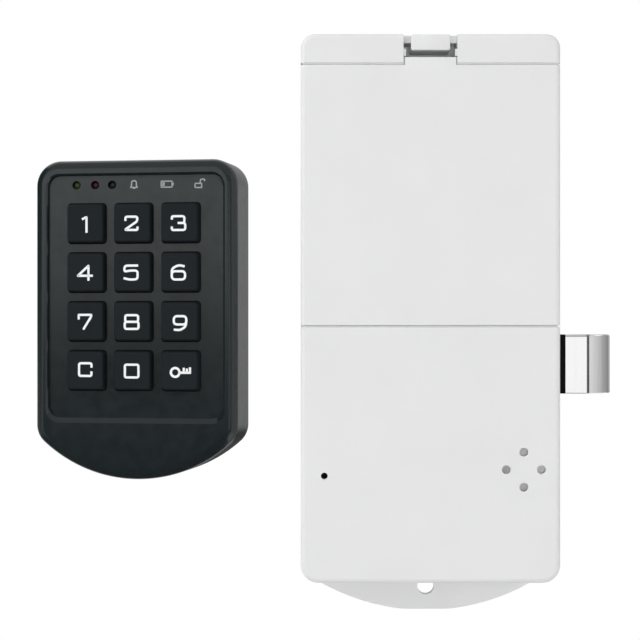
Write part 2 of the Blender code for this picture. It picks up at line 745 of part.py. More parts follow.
def rack_teeth():
    """Lower edge of the bolt carrier's tail, left to right, with its teeth pointing down."""
    pitch = math.pi * RACK_MODULE
    slope = math.tan(PRESSURE_ANGLE)
    root = RACK_PITCH_Z + DEDENDUM_share * RACK_MODULE
    tip = RACK_PITCH_Z - ADDENDUM_share * RACK_MODULE
    at_pitch = pitch / 4 - BACKLASH / 2
    at_root = at_pitch + (root - RACK_PITCH_Z) * slope
    at_tip = at_pitch - (RACK_PITCH_Z - tip) * slope
    points = []
    for tooth in range(RACK_TEETH):
        middle = GEAR_X + (tooth - 1) * pitch
        points += [
            (middle - at_root, root),
            (middle - at_tip, tip),
            (middle + at_tip, tip),
            (middle + at_root, root),
        ]
    return points


def countersunk_screw(name, x, z, length, back=0.0):
    """Screw driven from the back: its head lies just under the face at back."""
    head = back - SCREW_SINK
    profile = [
        (0, head),
        (SCREW_HEAD_RADIUS, head),
        (SCREW_SHANK_RADIUS, head - SCREW_HEAD_HEIGHT),
        (SCREW_SHANK_RADIUS, head - length + SCREW_SHANK_RADIUS),
        (0, head - length),
    ]
    screw = turned(name, profile, (x, 0, z), "Y", SMALL_SEGMENTS, steel())
    reach = SCREW_HEAD_RADIUS * 2
    slot_low = (x - SCREW_SLOT_WIDTH / 2, head - SCREW_SLOT_DEPTH, z - reach)
    slot_high = (x + SCREW_SLOT_WIDTH / 2, head + OVERRUN, z + reach)
    cut(screw, box("slot", slot_low, slot_high))
    return screw


def countersink(x, z, length, back=0.0):
    """Cutter for a countersunk screw, with the running gap all round."""
    head = back - SCREW_SINK
    profile = [
        (0, back + OVERRUN),
        (SCREW_HEAD_RADIUS + GAP, back + OVERRUN),
        (SCREW_HEAD_RADIUS + GAP, head),
        (SCREW_SHANK_RADIUS + GAP, head - SCREW_HEAD_HEIGHT),
        (SCREW_SHANK_RADIUS + GAP, head - length - GAP),
        (0, head - length - GAP),
    ]
    return turned("countersink", profile, (x, 0, z), "Y", SMALL_SEGMENTS)


# Lock unit


def lock_outline(inset):
    low = (-LOCK_HALF + inset, LOCK_BOTTOM + inset)
    high = (LOCK_HALF - inset, LOCK_TOP - inset)
    return rounded_outline(low, high, LOCK_BOTTOM_RADIUS - inset, LOCK_TOP_RADIUS - inset)


def lock_blank(name, back, look):
    """Outer form of housing and cover: a slab whose front edge is rounded."""
    sections = [(back, lock_outline(0))]
    for step in range(EDGE_STEPS + 1):
        angle = math.pi / 2 * step / EDGE_STEPS
        depth = LOCK_EDGE_ROUND * (1 - math.sin(angle))
        inset = LOCK_EDGE_ROUND * (1 - math.cos(angle))
        sections.append((LOCK_FRONT + depth, lock_outline(inset)))
    return loft(name, sections, look)


def housing_screw_places():
    for z in (LOCK_TOP - HOUSING_SCREW_TOP_DROP, LOCK_BOTTOM + HOUSING_SCREW_BOTTOM_RISE):
        for x in (-HOUSING_SCREW_X, HOUSING_SCREW_X):
            yield x, z


def frame_screw_places():
    yield GEAR_X - FRAME_SCREW_BACKWARD, FRAME_SCREW_LEFT_Z
    yield GEAR_X + FRAME_SCREW_FORWARD, FRAME_SCREW_RIGHT_Z


def make_base_plate():
    plate = prism("base_plate", lock_outline(0), PLATE_FRONT, 0, pale_plastic())
    half_flat = math.sqrt(FLANGE_RADIUS**2 - (FLANGE_RADIUS - FLANGE_FLAT_DROP) ** 2)
    start = -math.acos(half_flat / FLANGE_RADIUS)
    end = -math.acos(FLANGE_HALF / FLANGE_RADIUS)
    centre = (0, FLANGE_CENTRE_Z)
    right = arc_points(centre, FLANGE_RADIUS, start, end, FLANGE_STEPS)
    right.append((FLANGE_HALF, LOCK_BOTTOM + WELD))
    left = [(-x, z) for x, z in reversed(right)]
    join(plate, prism("flange", right + left, PLATE_FRONT, 0))
    rib_x = CAVITY_HALF - GAP - PLATE_RIB_WIDTH / 2
    for side in (-1, 1):
        low = (side * rib_x - PLATE_RIB_WIDTH / 2, PLATE_FRONT - PLATE_RIB_HEIGHT, 0)
        high = (side * rib_x + PLATE_RIB_WIDTH / 2, PLATE_FRONT + WELD, PLATE_RIB_HALF_LENGTH)
        join(plate, box("side_rib", low, high))
    rib_z = CAVITY_BOTTOM + GAP
    low = (-PLATE_LOWER_RIB_HALF_LENGTH, PLATE_FRONT - PLATE_RIB_HEIGHT, rib_z)
    high = (PLATE_LOWER_RIB_HALF_LENGTH, PLATE_FRONT + WELD, rib_z + PLATE_RIB_WIDTH)
    join(plate, box("lower_rib", low, high))
    window = centred_outline(
        (CABLE_WINDOW_X, CABLE_WINDOW_Z), CABLE_WINDOW_WIDTH, CABLE_WINDOW_HEIGHT, CABLE_WINDOW_RADIUS
    )
    cut(plate, prism("cable_window", window, PLATE_FRONT - OVERRUN, OVERRUN))
    holes = ((0, FLANGE_HOLE_Z), (-UPPER_HOLE_X, UPPER_HOLE_Z), (UPPER_HOLE_X, UPPER_HOLE_Z))
    for place in holes:
        hole = circle(place, DOOR_SCREW_HOLE_RADIUS)
        cut(plate, prism("door_screw_hole", hole, PLATE_FRONT - OVERRUN, OVERRUN))
    for x, z in housing_screw_places():
        cut(plate, countersink(x, z, SCREW_LENGTH))
    for x, z in frame_screw_places():
        cut(plate, countersink(x, z, SHORT_SCREW_LENGTH))


def cut_cover_seat(housing):
    """Room for the battery cover, its skirts, its clip and its hooks."""
    wide = LOCK_HALF + OVERRUN
    low_seam = COVER_SEAM_LOW - SEAM / 2
    front = LOCK_FRONT - OVERRUN
    cut(housing, box("cover_seat", (-wide, front, low_seam), (wide, LEDGE_FRONT, POCKET_FLOOR)))
    for side in (-1, 1):
        inner = side * (SKIRT_INNER - GAP)
        xs = sorted((inner, side * wide))
        low = (xs[0], front, low_seam)
        high = (xs[1], SKIRT_BACK + GAP, POCKET_FLOOR)
        cut(housing, box("skirt_seat", low, high))
        hook_low = (side * HOOK_X - HOOK_WIDTH / 2 - GAP, front, low_seam)
        hook_high = (side * HOOK_X + HOOK_WIDTH / 2 + GAP, LEDGE_BACK + OVERRUN, low_seam + HOOK_WINDOW_TOP)
        cut(housing, box("hook_window", hook_low, hook_high))
        room_low = (hook_low[0], CAVITY_FRONT, COVER_SEAM_LOW - SIDE_WALL - OVERRUN)
        room_high = (hook_high[0], LEDGE_BACK + OVERRUN, low_seam + HOOK_WINDOW_TOP)
        cut(housing, box("hook_room", room_low, room_high))
    notch_low = (-NOTCH_HALF, front, POCKET_FLOOR - OVERRUN)
    notch_high = (NOTCH_HALF, LOCK_FRONT + NOTCH_OPEN_DEPTH, LOCK_TOP + OVERRUN)
    cut(housing, box("notch", notch_low, notch_high))
    pocket_low = (-NOTCH_HALF, front, POCKET_FLOOR)
    cut(housing, box("clip_pocket", pocket_low, (NOTCH_HALF, POCKET_BACK, POCKET_ROOF)))


def cut_housing_hollows(housing):
    """Cell tray in front, room for the mechanism below and behind it, and hollows in the rim."""
    tray_low = (-TRAY_HALF, LOCK_FRONT - OVERRUN, TRAY_BOTTOM)
    cut(housing, box("tray", tray_low, (TRAY_HALF, TRAY_FLOOR_FRONT, TRAY_TOP)))
    lower = rounded_outline(
        (-CAVITY_HALF, CAVITY_BOTTOM), (CAVITY_HALF, COVER_SEAM_LOW - SIDE_WALL), CAVITY_RADIUS, CAVITY_RADIUS
    )
    cut(housing, prism("lower_cavity", lower, CAVITY_FRONT, OVERRUN))
    low = (-CAVITY_HALF, LEDGE_BACK, COVER_SEAM_LOW - SIDE_WALL - CAVITY_RADIUS)
    high = (CAVITY_HALF, OVERRUN, TRAY_BOTTOM - TRAY_END_WALL)
    cut(housing, box("ledge_cavity", low, high))
    low = (-CAVITY_HALF, TRAY_FLOOR_BACK, TRAY_BOTTOM - TRAY_END_WALL - OVERRUN)
    cut(housing, box("tray_back", low, (CAVITY_HALF, OVERRUN, CAVITY_TOP)))
    rim_split = POCKET_FLOOR + SIDE_WALL
    for side in (-1, 1):
        xs = sorted((side * RIM_HOLLOW_INNER, side * CAVITY_HALF))
        low = (xs[0], LEDGE_BACK, TRAY_TOP + TRAY_END_WALL)
        cut(housing, box("ledge_hollow", low, (xs[1], TRAY_FLOOR_BACK + OVERRUN, rim_split)))
        low = (xs[0], CAVITY_FRONT, rim_split - WELD)
        cut(housing, box("rim_hollow", low, (xs[1], TRAY_FLOOR_BACK + OVERRUN, CAVITY_TOP)))


def add_housing_bosses(housing):
    for x, z in housing_screw_places():
        start = CAVITY_FRONT - WELD
        join(housing, rod("boss", HOUSING_BOSS_RADIUS, start, HOUSING_BACK, (x, 0, z)))
        cut(housing, countersink(x, z, SCREW_LENGTH))
    for x in (BOARD_SCREW_LEFT_X, BOARD_SCREW_RIGHT_X):
        end = BOARD_FRONT - GAP
        place = (x, 0, BOARD_SCREW_Z)
        join(housing, rod("board_boss", BOARD_BOSS_RADIUS, CAVITY_FRONT - WELD, end, place))
        pilot = end - SHORT_SCREW_LENGTH
        cut(housing, rod("pilot", SCREW_SHANK_RADIUS + GAP, pilot, end + OVERRUN, place))


def make_lock_housing():
    housing = lock_blank("lock_housing", HOUSING_BACK, pale_plastic())
    cut_cover_seat(housing)
    cut_housing_hollows(housing)
    for rib in range(1, CELL_COUNT):
        x = (rib - CELL_COUNT / 2) * CELL_PITCH
        low = (x - TRAY_RIB_WIDTH / 2, TRAY_FLOOR_FRONT - TRAY_RIB_HEIGHT, TRAY_BOTTOM + CONTACT_WIDTH)
        high = (x + TRAY_RIB_WIDTH / 2, TRAY_FLOOR_FRONT + WELD, TRAY_TOP - CONTACT_WIDTH)
        join(housing, box("tray_rib", low, high))
    for x in (-UPPER_HOLE_X, UPPER_HOLE_X):
        hole = circle((x, UPPER_HOLE_Z), DRIVER_HOLE_RADIUS, SMALL_SEGMENTS)
        low = TRAY_FLOOR_FRONT - OVERRUN
        cut(housing, prism("driver_hole", hole, low, TRAY_FLOOR_BACK + OVERRUN))
    add_housing_bosses(housing)
    window_low = (CAVITY_HALF - OVERRUN, BOLT_FRONT - GAP, BOLT_BOTTOM - GAP)
    window_high = (LOCK_HALF + OVERRUN, BOLT_BACK + GAP, BOLT_TOP + GAP)
    cut(housing, box("bolt_window", window_low, window_high))
    front = LOCK_FRONT - OVERRUN
    back = CAVITY_FRONT + OVERRUN
    pin = circle((PIN_HOLE_X, PIN_HOLE_Z), PIN_HOLE_RADIUS, SMALL_SEGMENTS)
    cut(housing, prism("reset_hole", pin, front, back))
    for quarter in range(4):
        angle = quarter * math.pi / 2
        x = BUZZER_X + BUZZER_HOLE_OFFSET * math.cos(angle)
        z = BUZZER_Z + BUZZER_HOLE_OFFSET * math.sin(angle)
        hole = circle((x, z), BUZZER_HOLE_RADIUS, SMALL_SEGMENTS)
        cut(housing, prism("buzzer_hole", hole, front, back))


def make_battery_cover():
    cover = lock_blank("battery_cover", SKIRT_BACK, pale_plastic())
    wide = LOCK_HALF + OVERRUN
    front = LOCK_FRONT - OVERRUN
    back = SKIRT_BACK + OVERRUN
    cut(
        cover,
        box("below", (-wide, front, LOCK_BOTTOM - OVERRUN), (wide, back, COVER_BOTTOM)),
        box("above", (-wide, front, COVER_TOP), (wide, back, LOCK_TOP + OVERRUN)),
        box("inside", (-SKIRT_INNER, COVER_BACK, LOCK_BOTTOM), (SKIRT_INNER, back, LOCK_TOP)),
    )
    tongue_half = NOTCH_HALF - GAP
    low = (-tongue_half, LOCK_FRONT, COVER_TOP - COVER_WALL)
    join(cover, box("tongue", low, (tongue_half, COVER_BACK, TONGUE_TOP)))
    arm_half = CLIP_ARM_WIDTH / 2
    arm_bottom = POCKET_FLOOR + GAP
    arm_top = arm_bottom + CLIP_ARM_THICKNESS
    low = (-arm_half, COVER_BACK - WELD, arm_bottom)
    join(cover, box("clip_arm", low, (arm_half, CLIP_ROOT, arm_top)))
    low = (-arm_half, CLIP_ROOT - CLIP_ARM_THICKNESS, arm_top - WELD)
    join(cover, box("clip_bend", low, (arm_half, CLIP_ROOT, TAB_BOTTOM - GAP)))
    for side in (-1, 1):
        left = side * HOOK_X - HOOK_WIDTH / 2
        right = side * HOOK_X + HOOK_WIDTH / 2
        finger_front = CAVITY_FRONT + GAP
        finger_back = finger_front + HOOK_FINGER
        arm_low = (left, COVER_BACK - WELD, COVER_BOTTOM)
        join(cover, box("hook_arm", arm_low, (right, finger_back, COVER_BOTTOM + HOOK_ARM)))
        finger_low = (left, finger_front, COVER_BOTTOM - HOOK_DROP)
        finger_high = (right, finger_back, COVER_BOTTOM + WELD)
        join(cover, box("hook_finger", finger_low, finger_high))
    move_origin(cover, (0, LOCK_FRONT, COVER_SEAM_LOW))


def make_cover_clip():
    half = CLIP_WIDTH / 2
    leg_top = TAB_BOTTOM + CLIP_LEG_THICKNESS
    clip = box("cover_clip", (-half, TAB_FRONT, TAB_BOTTOM), (half, TAB_BACK, TAB_TOP), pale_plastic())
    leg_low = (-half, TAB_BACK - WELD, TAB_BOTTOM)
    join(clip, box("leg", leg_low, (half, CLIP_ROOT, leg_top)))
    nose_front = TAB_FRONT + CLIP_NOSE_SETBACK
    nose_low = (-half, nose_front, leg_top - WELD)
    nose_high = (half, nose_front + CLIP_NOSE_LENGTH, leg_top + CLIP_NOSE_HEIGHT)
    join(clip, box("nose", nose_low, nose_high))
    move_origin(clip, (0, CLIP_ROOT - CLIP_ARM_THICKNESS / 2, TAB_BOTTOM - GAP / 2))


def cell_x(index):
    return (index - (CELL_COUNT - 1) / 2) * CELL_PITCH


def make_cells():
    """Four cells side by side; every second one points down."""
    body = CELL_LENGTH - CELL_NUB_HEIGHT
    start = TRAY_BOTTOM + GAP + CONTACT_THICKNESS + CONTACT_SPRING_LENGTH + GAP - TRAY_MIDDLE
    for index in range(CELL_COUNT):
        up = 1 if index % 2 == 0 else -1
        profile = [
            (0, start),
            (CELL_RADIUS - CELL_EDGE, start),
            (CELL_RADIUS, start + CELL_EDGE),
            (CELL_RADIUS, start + body - CELL_EDGE),
            (CELL_RADIUS - CELL_EDGE, start + body),
            (CELL_NUB_RADIUS, start + body),
            (CELL_NUB_RADIUS, start + CELL_LENGTH),
            (0, start + CELL_LENGTH),
        ]
        profile = [(radius, up * distance) for radius, distance in profile]
        centre = (cell_x(index), CELL_Y, TRAY_MIDDLE)
        turned(f"battery_cell_{index + 1}", profile, centre, "Z", ROUND_SEGMENTS, cell_jacket())


def contact_plate(name, first, last, at_top):
    """Flat contact behind the ends of one or two cells."""
    outer = TRAY_TOP - GAP if at_top else TRAY_BOTTOM + GAP
    inner = outer - CONTACT_THICKNESS if at_top else outer + CONTACT_THICKNESS
    half = CONTACT_WIDTH / 2
    low = (cell_x(first) - half, CELL_Y - half, min(outer, inner))
    high = (cell_x(last) + half, CELL_Y + half, max(outer, inner))
    return box(name, low, high, steel()), inner


def add_button(plate, index, face, inward):
    """Raised button that meets a cell's nub."""
    profile = [
        (0, -inward * WELD),
        (CONTACT_BUTTON_RADIUS + CONTACT_BUTTON_HEIGHT, -inward * WELD),
        (CONTACT_BUTTON_RADIUS, inward * CONTACT_BUTTON_HEIGHT),
        (0, inward * CONTACT_BUTTON_HEIGHT),
    ]
    centre = (cell_x(index), CELL_Y, face)
    join(plate, turned("button", profile, centre, "Z", SMALL_SEGMENTS))


def add_spring(plate, index, face, inward):
    """Tapering coil that meets a cell's flat end."""
    reach = CONTACT_SPRING_LENGTH - CONTACT_WIRE_RADIUS
    steps = CONTACT_SPRING_TURNS * COIL_POINTS
    path = []
    for step in range(steps + 1):
        share = step / steps
        angle = 2 * math.pi * step / COIL_POINTS
        radius = CONTACT_SPRING_WIDE + (CONTACT_SPRING_NARROW - CONTACT_SPRING_WIDE) * share
        place = (radius * math.cos(angle), radius * math.sin(angle), inward * reach * share)
        path.append(Vector((cell_x(index), CELL_Y, face)) + Vector(place))
    join(plate, tube_along("coil", path, CONTACT_WIRE_RADIUS, COIL_SIDES))


def make_contacts():
    """The cells are in series: a spring meets each flat end, and a button each nub."""
    plate, face = contact_plate("contact_bottom_left", 0, 0, False)
    add_spring(plate, 0, face, 1)
    plate, face = contact_plate("contact_bottom_middle", 1, 2, False)
    add_button(plate, 1, face, 1)
    add_spring(plate, 2, face, 1)
    plate, face = contact_plate("contact_bottom_right", 3, 3, False)
    add_button(plate, 3, face, 1)
    plate, face = contact_plate("contact_top_left", 0, 1, True)
    add_button(plate, 0, face, -1)
    add_spring(plate, 1, face, -1)
    plate, face = contact_plate("contact_top_right", 2, 3, True)
    add_button(plate, 2, face, -1)
    add_spring(plate, 3, face, -1)


def motor_outline(grow):
    """Round can with an upper and a lower flat."""
    radius = MOTOR_RADIUS + grow
    flat = MOTOR_FLAT + grow
    turn = math.asin(flat / radius)
    centre = (MOTOR_X, MOTOR_Z)
    right = arc_points(centre, radius, -turn, turn, CORNER_STEPS)
    left = arc_points(centre, radius, math.pi - turn, math.pi + turn, CORNER_STEPS)
    return right + left


def make_mechanism_frame():
    """Plate behind the bolt with its rails, the spring's post, the gear's boss and the motor's collar."""
    outline = [
        (FRAME_LEFT, FRAME_LOWER_TOP),
        (FRAME_FOOT_LEFT, FRAME_LOWER_TOP),
        (FRAME_FOOT_LEFT, FRAME_FOOT_BOTTOM),
        (FRAME_FOOT_RIGHT, FRAME_FOOT_BOTTOM),
        (FRAME_FOOT_RIGHT, FRAME_LOWER_TOP),
        (FRAME_RIGHT, FRAME_LOWER_TOP),
        (FRAME_RIGHT, FRAME_TOP),
        (FRAME_LEFT, FRAME_TOP),
    ]
    frame = prism("mechanism_frame", outline, FRAME_FRONT, FRAME_BACK, black_plastic())
    seat = FRAME_FRONT + WELD
    lip_front = BOLT_FRONT - GAP - LIP_THICKNESS
    rail_low = (FRAME_RIGHT - RAIL_UPPER_LENGTH, lip_front, BOLT_TOP + GAP)
    join(frame, box("upper_rail", rail_low, (FRAME_RIGHT, seat, BOLT_TOP + GAP + RAIL_THICKNESS)))
    lip_low = (FRAME_RIGHT - RAIL_UPPER_LENGTH, lip_front, BOLT_TOP - LIP_REACH)
    lip_high = (FRAME_RIGHT, lip_front + LIP_THICKNESS, BOLT_TOP + GAP + WELD)
    join(frame, box("upper_lip", lip_low, lip_high))
    rail_left = CARRIER_GUIDE_X + GAP
    rail_low = (rail_left, lip_front, BOLT_BOTTOM - GAP - RAIL_THICKNESS)
    join(frame, box("lower_rail", rail_low, (FRAME_RIGHT, seat, BOLT_BOTTOM - GAP)))
    lip_low = (rail_left, lip_front, BOLT_BOTTOM - GAP - WELD)
    lip_high = (FRAME_RIGHT, lip_front + LIP_THICKNESS, BOLT_BOTTOM + LIP_REACH)
    join(frame, box("lower_lip", lip_low, lip_high))
    post_low = (FRAME_LEFT, POST_FRONT, BOLT_CENTRE_Z - POST_HEIGHT / 2)
    post_high = (FRAME_LEFT + POST_THICKNESS, seat, BOLT_CENTRE_Z + POST_HEIGHT / 2)
    join(frame, box("spring_post", post_low, post_high))
    start = FRAME_LEFT + POST_THICKNESS - WELD
    centre = (0, BOLT_MIDDLE_Y, BOLT_CENTRE_Z)
    end = start + SPRING_PIN_LENGTH
    join(frame, rod("spring_pin", SPRING_PIN_RADIUS, start, end, centre, "X", SMALL_SEGMENTS))
    gear = (GEAR_X, 0, GEAR_Z)
    join(frame, rod("pin_boss", PIN_BOSS_RADIUS, PINION_BACK + GAP, seat, gear))
    depth = FRAME_FRONT + PIN_SEAT_DEPTH
    cut(frame, rod("pin_seat", GEAR_PIN_RADIUS + GAP, PINION_BACK, depth, gear, "Y", SMALL_SEGMENTS))
    collar = motor_outline(GAP + COLLAR_WALL)
    join(frame, prism("motor_collar", collar, FRAME_FRONT - COLLAR_HEIGHT, seat))
    bore = motor_outline(GAP)
    cut(frame, prism("motor_bore", bore, FRAME_FRONT - COLLAR_HEIGHT - OVERRUN, FRAME_BACK + OVERRUN))
    for x, z in frame_screw_places():
        foot = rod("foot", FRAME_FOOT_RADIUS, FRAME_BACK - WELD, PLATE_FRONT - GAP, (x, 0, z))
        join(frame, foot)
        cut(frame, countersink(x, z, SHORT_SCREW_LENGTH))


def make_bolt_carrier():
    """Black slider: a guided block, a racked tail, a spring pin and a tenon for the nose."""
    tail = rack_teeth()
    root = tail[0][1]
    tail_top = BOLT_TOP - CARRIER_TOP_STEP
    tail_right = CARRIER_GUIDE_X + WELD
    outline = [(CARRIER_TAIL_X, root)] + tail
    outline += [(tail_right, root), (tail_right, tail_top), (CARRIER_TAIL_X, tail_top)]
    half = RACK_WIDTH / 2
    carrier = prism(
        "bolt_carrier", outline, BOLT_MIDDLE_Y - half, BOLT_MIDDLE_Y + half, black_plastic()
    )
    low = (CARRIER_GUIDE_X, BOLT_FRONT, BOLT_BOTTOM)
    join(carrier, box("guide_block", low, (CARRIER_END_X, BOLT_BACK, BOLT_TOP)))
    low = (CARRIER_END_X - WELD, BOLT_MIDDLE_Y - TENON_DEPTH / 2, BOLT_CENTRE_Z - TENON_HEIGHT / 2)
    high = (
        NOSE_BACK_X + TENON_LENGTH,
        BOLT_MIDDLE_Y + TENON_DEPTH / 2,
        BOLT_CENTRE_Z + TENON_HEIGHT / 2,
    )
    join(carrier, box("tenon", low, high))
    centre = (0, BOLT_MIDDLE_Y, BOLT_CENTRE_Z)
    start = CARRIER_TAIL_X - SPRING_PIN_LENGTH
    end = CARRIER_TAIL_X + WELD
    join(carrier, rod("spring_pin", SPRING_PIN_RADIUS, start, end, centre, "X", SMALL_SEGMENTS))
    move_origin(carrier, (CARRIER_END_X, BOLT_MIDDLE_Y, BOLT_CENTRE_Z))


def make_bolt_nose():
    """Bright nose: a flat, a narrow groove and a slope that curves away to the tip."""
    flat_end = NOSE_BACK_X + BOLT_FLAT_LENGTH
    slope_x = flat_end + BOLT_GROOVE_WIDTH
    slope_y = BOLT_FRONT + BOLT_SLOPE_START
    tip_y = BOLT_BACK - BOLT_TIP_LAND
    profile = [
        (NOSE_BACK_X, BOLT_BACK),
        (NOSE_BACK_X, BOLT_FRONT),
        (flat_end, BOLT_FRONT),
        (flat_end, BOLT_FRONT + BOLT_GROOVE_DEPTH),
        (slope_x, BOLT_FRONT + BOLT_GROOVE_DEPTH),
    ]
    for step in range(BOLT_SLOPE_STEPS + 1):
        angle = math.pi / 2 * step / BOLT_SLOPE_STEPS
        x = slope_x + (BOLT_TIP_X - slope_x) * math.sin(angle)
        y = tip_y + (slope_y - tip_y) * math.cos(angle)
        profile.append((x, y))
    profile.append((BOLT_TIP_X, BOLT_BACK))
    mesh = bmesh.new()
    lower = [mesh.verts.new((x, y, BOLT_BOTTOM)) for x, y in profile]
    upper = [mesh.verts.new((x, y, BOLT_TOP)) for x, y in profile]
    mesh.faces.new(lower)
    mesh.faces.new(reversed(upper))
    for index in range(len(profile)):
        after = (index + 1) % len(profile)
        mesh.faces.new((lower[index], lower[after], upper[after], upper[index]))
    nose = finish_mesh("bolt_nose", mesh, chrome())
    low = (
        NOSE_BACK_X - OVERRUN,
        BOLT_MIDDLE_Y - TENON_DEPTH / 2 - GAP,
        BOLT_CENTRE_Z - TENON_HEIGHT / 2 - GAP,
    )
    high = (
        NOSE_BACK_X + TENON_LENGTH + GAP,
        BOLT_MIDDLE_Y + TENON_DEPTH / 2 + GAP,
        BOLT_CENTRE_Z + TENON_HEIGHT / 2 + GAP,
    )
    cut(nose, box("mortise", low, high))
    move_origin(nose, (CARRIER_END_X, BOLT_MIDDLE_Y, BOLT_CENTRE_Z))


def make_bolt_spring():
    """Plain coil between the frame's post and the carrier's tail."""
    start = FRAME_LEFT + POST_THICKNESS + GAP + SPRING_WIRE_RADIUS
    end = CARRIER_TAIL_X - GAP - SPRING_WIRE_RADIUS
    steps = SPRING_TURNS * COIL_POINTS
    path = []
    for step in range(steps + 1):
        angle = 2 * math.pi * step / COIL_POINTS
        x = start + (end - start) * step / steps
        y = BOLT_MIDDLE_Y + SPRING_RADIUS * math.cos(angle)
        z = BOLT_CENTRE_Z + SPRING_RADIUS * math.sin(angle)
        path.append(Vector((x, y, z)))
    tube_along("bolt_spring", path, SPRING_WIRE_RADIUS, COIL_SIDES, steel())


def make_gears():
    """Wheel and pinion moulded in one, its pin, and the motor's shaft and pinion."""
    centre = (GEAR_X, GEAR_Z)
    pinion_gap = math.pi / 2
    pinion_tooth = pinion_gap + math.pi / PINION_TEETH
    pinion = gear_outline(centre, PINION_TEETH, RACK_MODULE, pinion_tooth, PINION_FLANK_STEPS)
    gear = prism("reduction_gear", pinion, PINION_FRONT, PINION_BACK, nylon())
    wheel = gear_outline(centre, WHEEL_TEETH, WHEEL_MODULE, MOTOR_DIRECTION, WHEEL_FLANK_STEPS)
    middle = (GEAR_X, 0, GEAR_Z)
    hub = rod("hub", WHEEL_HUB_RADIUS, WHEEL_BACK - WELD, PINION_FRONT + WELD, middle)
    join(gear, hub, prism("wheel", wheel, WHEEL_FRONT, WHEEL_BACK))
    bore = GEAR_PIN_RADIUS + GAP
    cut(gear, rod("bore", bore, WHEEL_FRONT - OVERRUN, PINION_BACK + OVERRUN, middle))
    move_origin(gear, middle)
    pin_end = FRAME_FRONT + PIN_SEAT_DEPTH - GAP
    pin_start = CAVITY_FRONT + GAP
    rod("gear_pin", GEAR_PIN_RADIUS, pin_start, pin_end, middle, "Y", SMALL_SEGMENTS, steel())

    back_angle = MOTOR_DIRECTION - math.pi
    tooth = back_angle + math.pi / MOTOR_PINION_TEETH
    place = (MOTOR_X, MOTOR_Z)
    outline = gear_outline(place, MOTOR_PINION_TEETH, WHEEL_MODULE, tooth, PINION_FLANK_STEPS)
    front = MOTOR_PINION_MIDDLE_Y - MOTOR_PINION_WIDTH / 2
    back = front + MOTOR_PINION_WIDTH
    motor_pinion = prism("motor_pinion", outline, front, back, brass())
    axis = (MOTOR_X, 0, MOTOR_Z)
    bore = MOTOR_SHAFT_RADIUS + GAP
    cut(motor_pinion, rod("bore", bore, front - OVERRUN, back + OVERRUN, axis, "Y", SMALL_SEGMENTS))
    move_origin(motor_pinion, axis)
    shaft_back = MOTOR_FRONT + MOTOR_SHAFT_DEPTH - GAP
    shaft = rod(
        "motor_shaft", MOTOR_SHAFT_RADIUS, front, shaft_back, axis, "Y", SMALL_SEGMENTS, steel()
    )
    move_origin(shaft, axis)


def make_motor():
    flat = motor_outline(0)
    small = motor_outline(-MOTOR_EDGE)
    sections = [
        (MOTOR_BACK, small),
        (MOTOR_BACK - MOTOR_EDGE, flat),
        (MOTOR_FRONT, flat),
    ]
    motor = loft("drive_motor", sections, steel())
    axis = (MOTOR_X, 0, MOTOR_Z)
    boss_front = MOTOR_FRONT - MOTOR_BOSS_HEIGHT
    join(motor, rod("boss", MOTOR_BOSS_RADIUS, boss_front, MOTOR_FRONT + WELD, axis))
    bore = MOTOR_SHAFT_RADIUS + GAP
    depth = MOTOR_FRONT + MOTOR_SHAFT_DEPTH
    cut(motor, rod("bore", bore, boss_front - OVERRUN, depth, axis, "Y", SMALL_SEGMENTS))


def make_main_board():
    """U-shaped board around the motor, with its chips and a capacitor."""
    left_inner = BOARD_LEFT + BOARD_LEFT_WIDTH
    right_inner = BOARD_RIGHT - BOARD_RIGHT_WIDTH
    outline = [
        (BOARD_LEFT, BOARD_BOTTOM),
        (BOARD_RIGHT, BOARD_BOTTOM),
        (BOARD_RIGHT, BOARD_RIGHT_TOP),
        (right_inner, BOARD_RIGHT_TOP),
        (right_inner, BOARD_BAND_TOP),
        (left_inner, BOARD_BAND_TOP),
        (left_inner, BOARD_LEFT_TOP),
        (BOARD_LEFT, BOARD_LEFT_TOP),
    ]
    board = prism("main_circuit_board", outline, BOARD_FRONT, BOARD_BACK, board_green())
    chip_x = BOARD_LEFT + BOARD_LEFT_WIDTH * CHIP_PLACE_share[1]
    chip_z = BOARD_BOTTOM + (BOARD_LEFT_TOP - BOARD_BOTTOM) * CHIP_PLACE_share[1]
    half = CHIP_SIZE / 2
    low = (chip_x - half, BOARD_FRONT - CHIP_HEIGHT, chip_z - half)
    join(board, box("controller", low, (chip_x + half, BOARD_FRONT + WELD, chip_z + half)))
    driver_x = BOARD_LEFT + (BOARD_RIGHT - BOARD_LEFT) * CHIP_PLACE_share[0]
    middle_z = (BOARD_BOTTOM + BOARD_BAND_TOP) / 2
    half_width = SMALL_CHIP_WIDTH / 2
    half_length = SMALL_CHIP_LENGTH / 2
    for place in (driver_x, driver_x + 2 * SMALL_CHIP_WIDTH):
        low = (place - half_width, BOARD_FRONT - CHIP_HEIGHT, middle_z - half_length)
        high = (place + half_width, BOARD_FRONT + WELD, middle_z + half_length)
        join(board, box("driver", low, high))
    cap_x = driver_x + 4 * SMALL_CHIP_WIDTH
    top = BOARD_FRONT - CAPACITOR_HEIGHT
    place = (cap_x, 0, middle_z)
    join(board, rod("capacitor", CAPACITOR_RADIUS, top, BOARD_FRONT + WELD, place))
    for x in (BOARD_SCREW_LEFT_X, BOARD_SCREW_RIGHT_X):
        hole = circle((x, BOARD_SCREW_Z), SCREW_SHANK_RADIUS + GAP, SMALL_SEGMENTS)
        cut(board, prism("screw_hole", hole, BOARD_FRONT - OVERRUN, BOARD_BACK + OVERRUN))


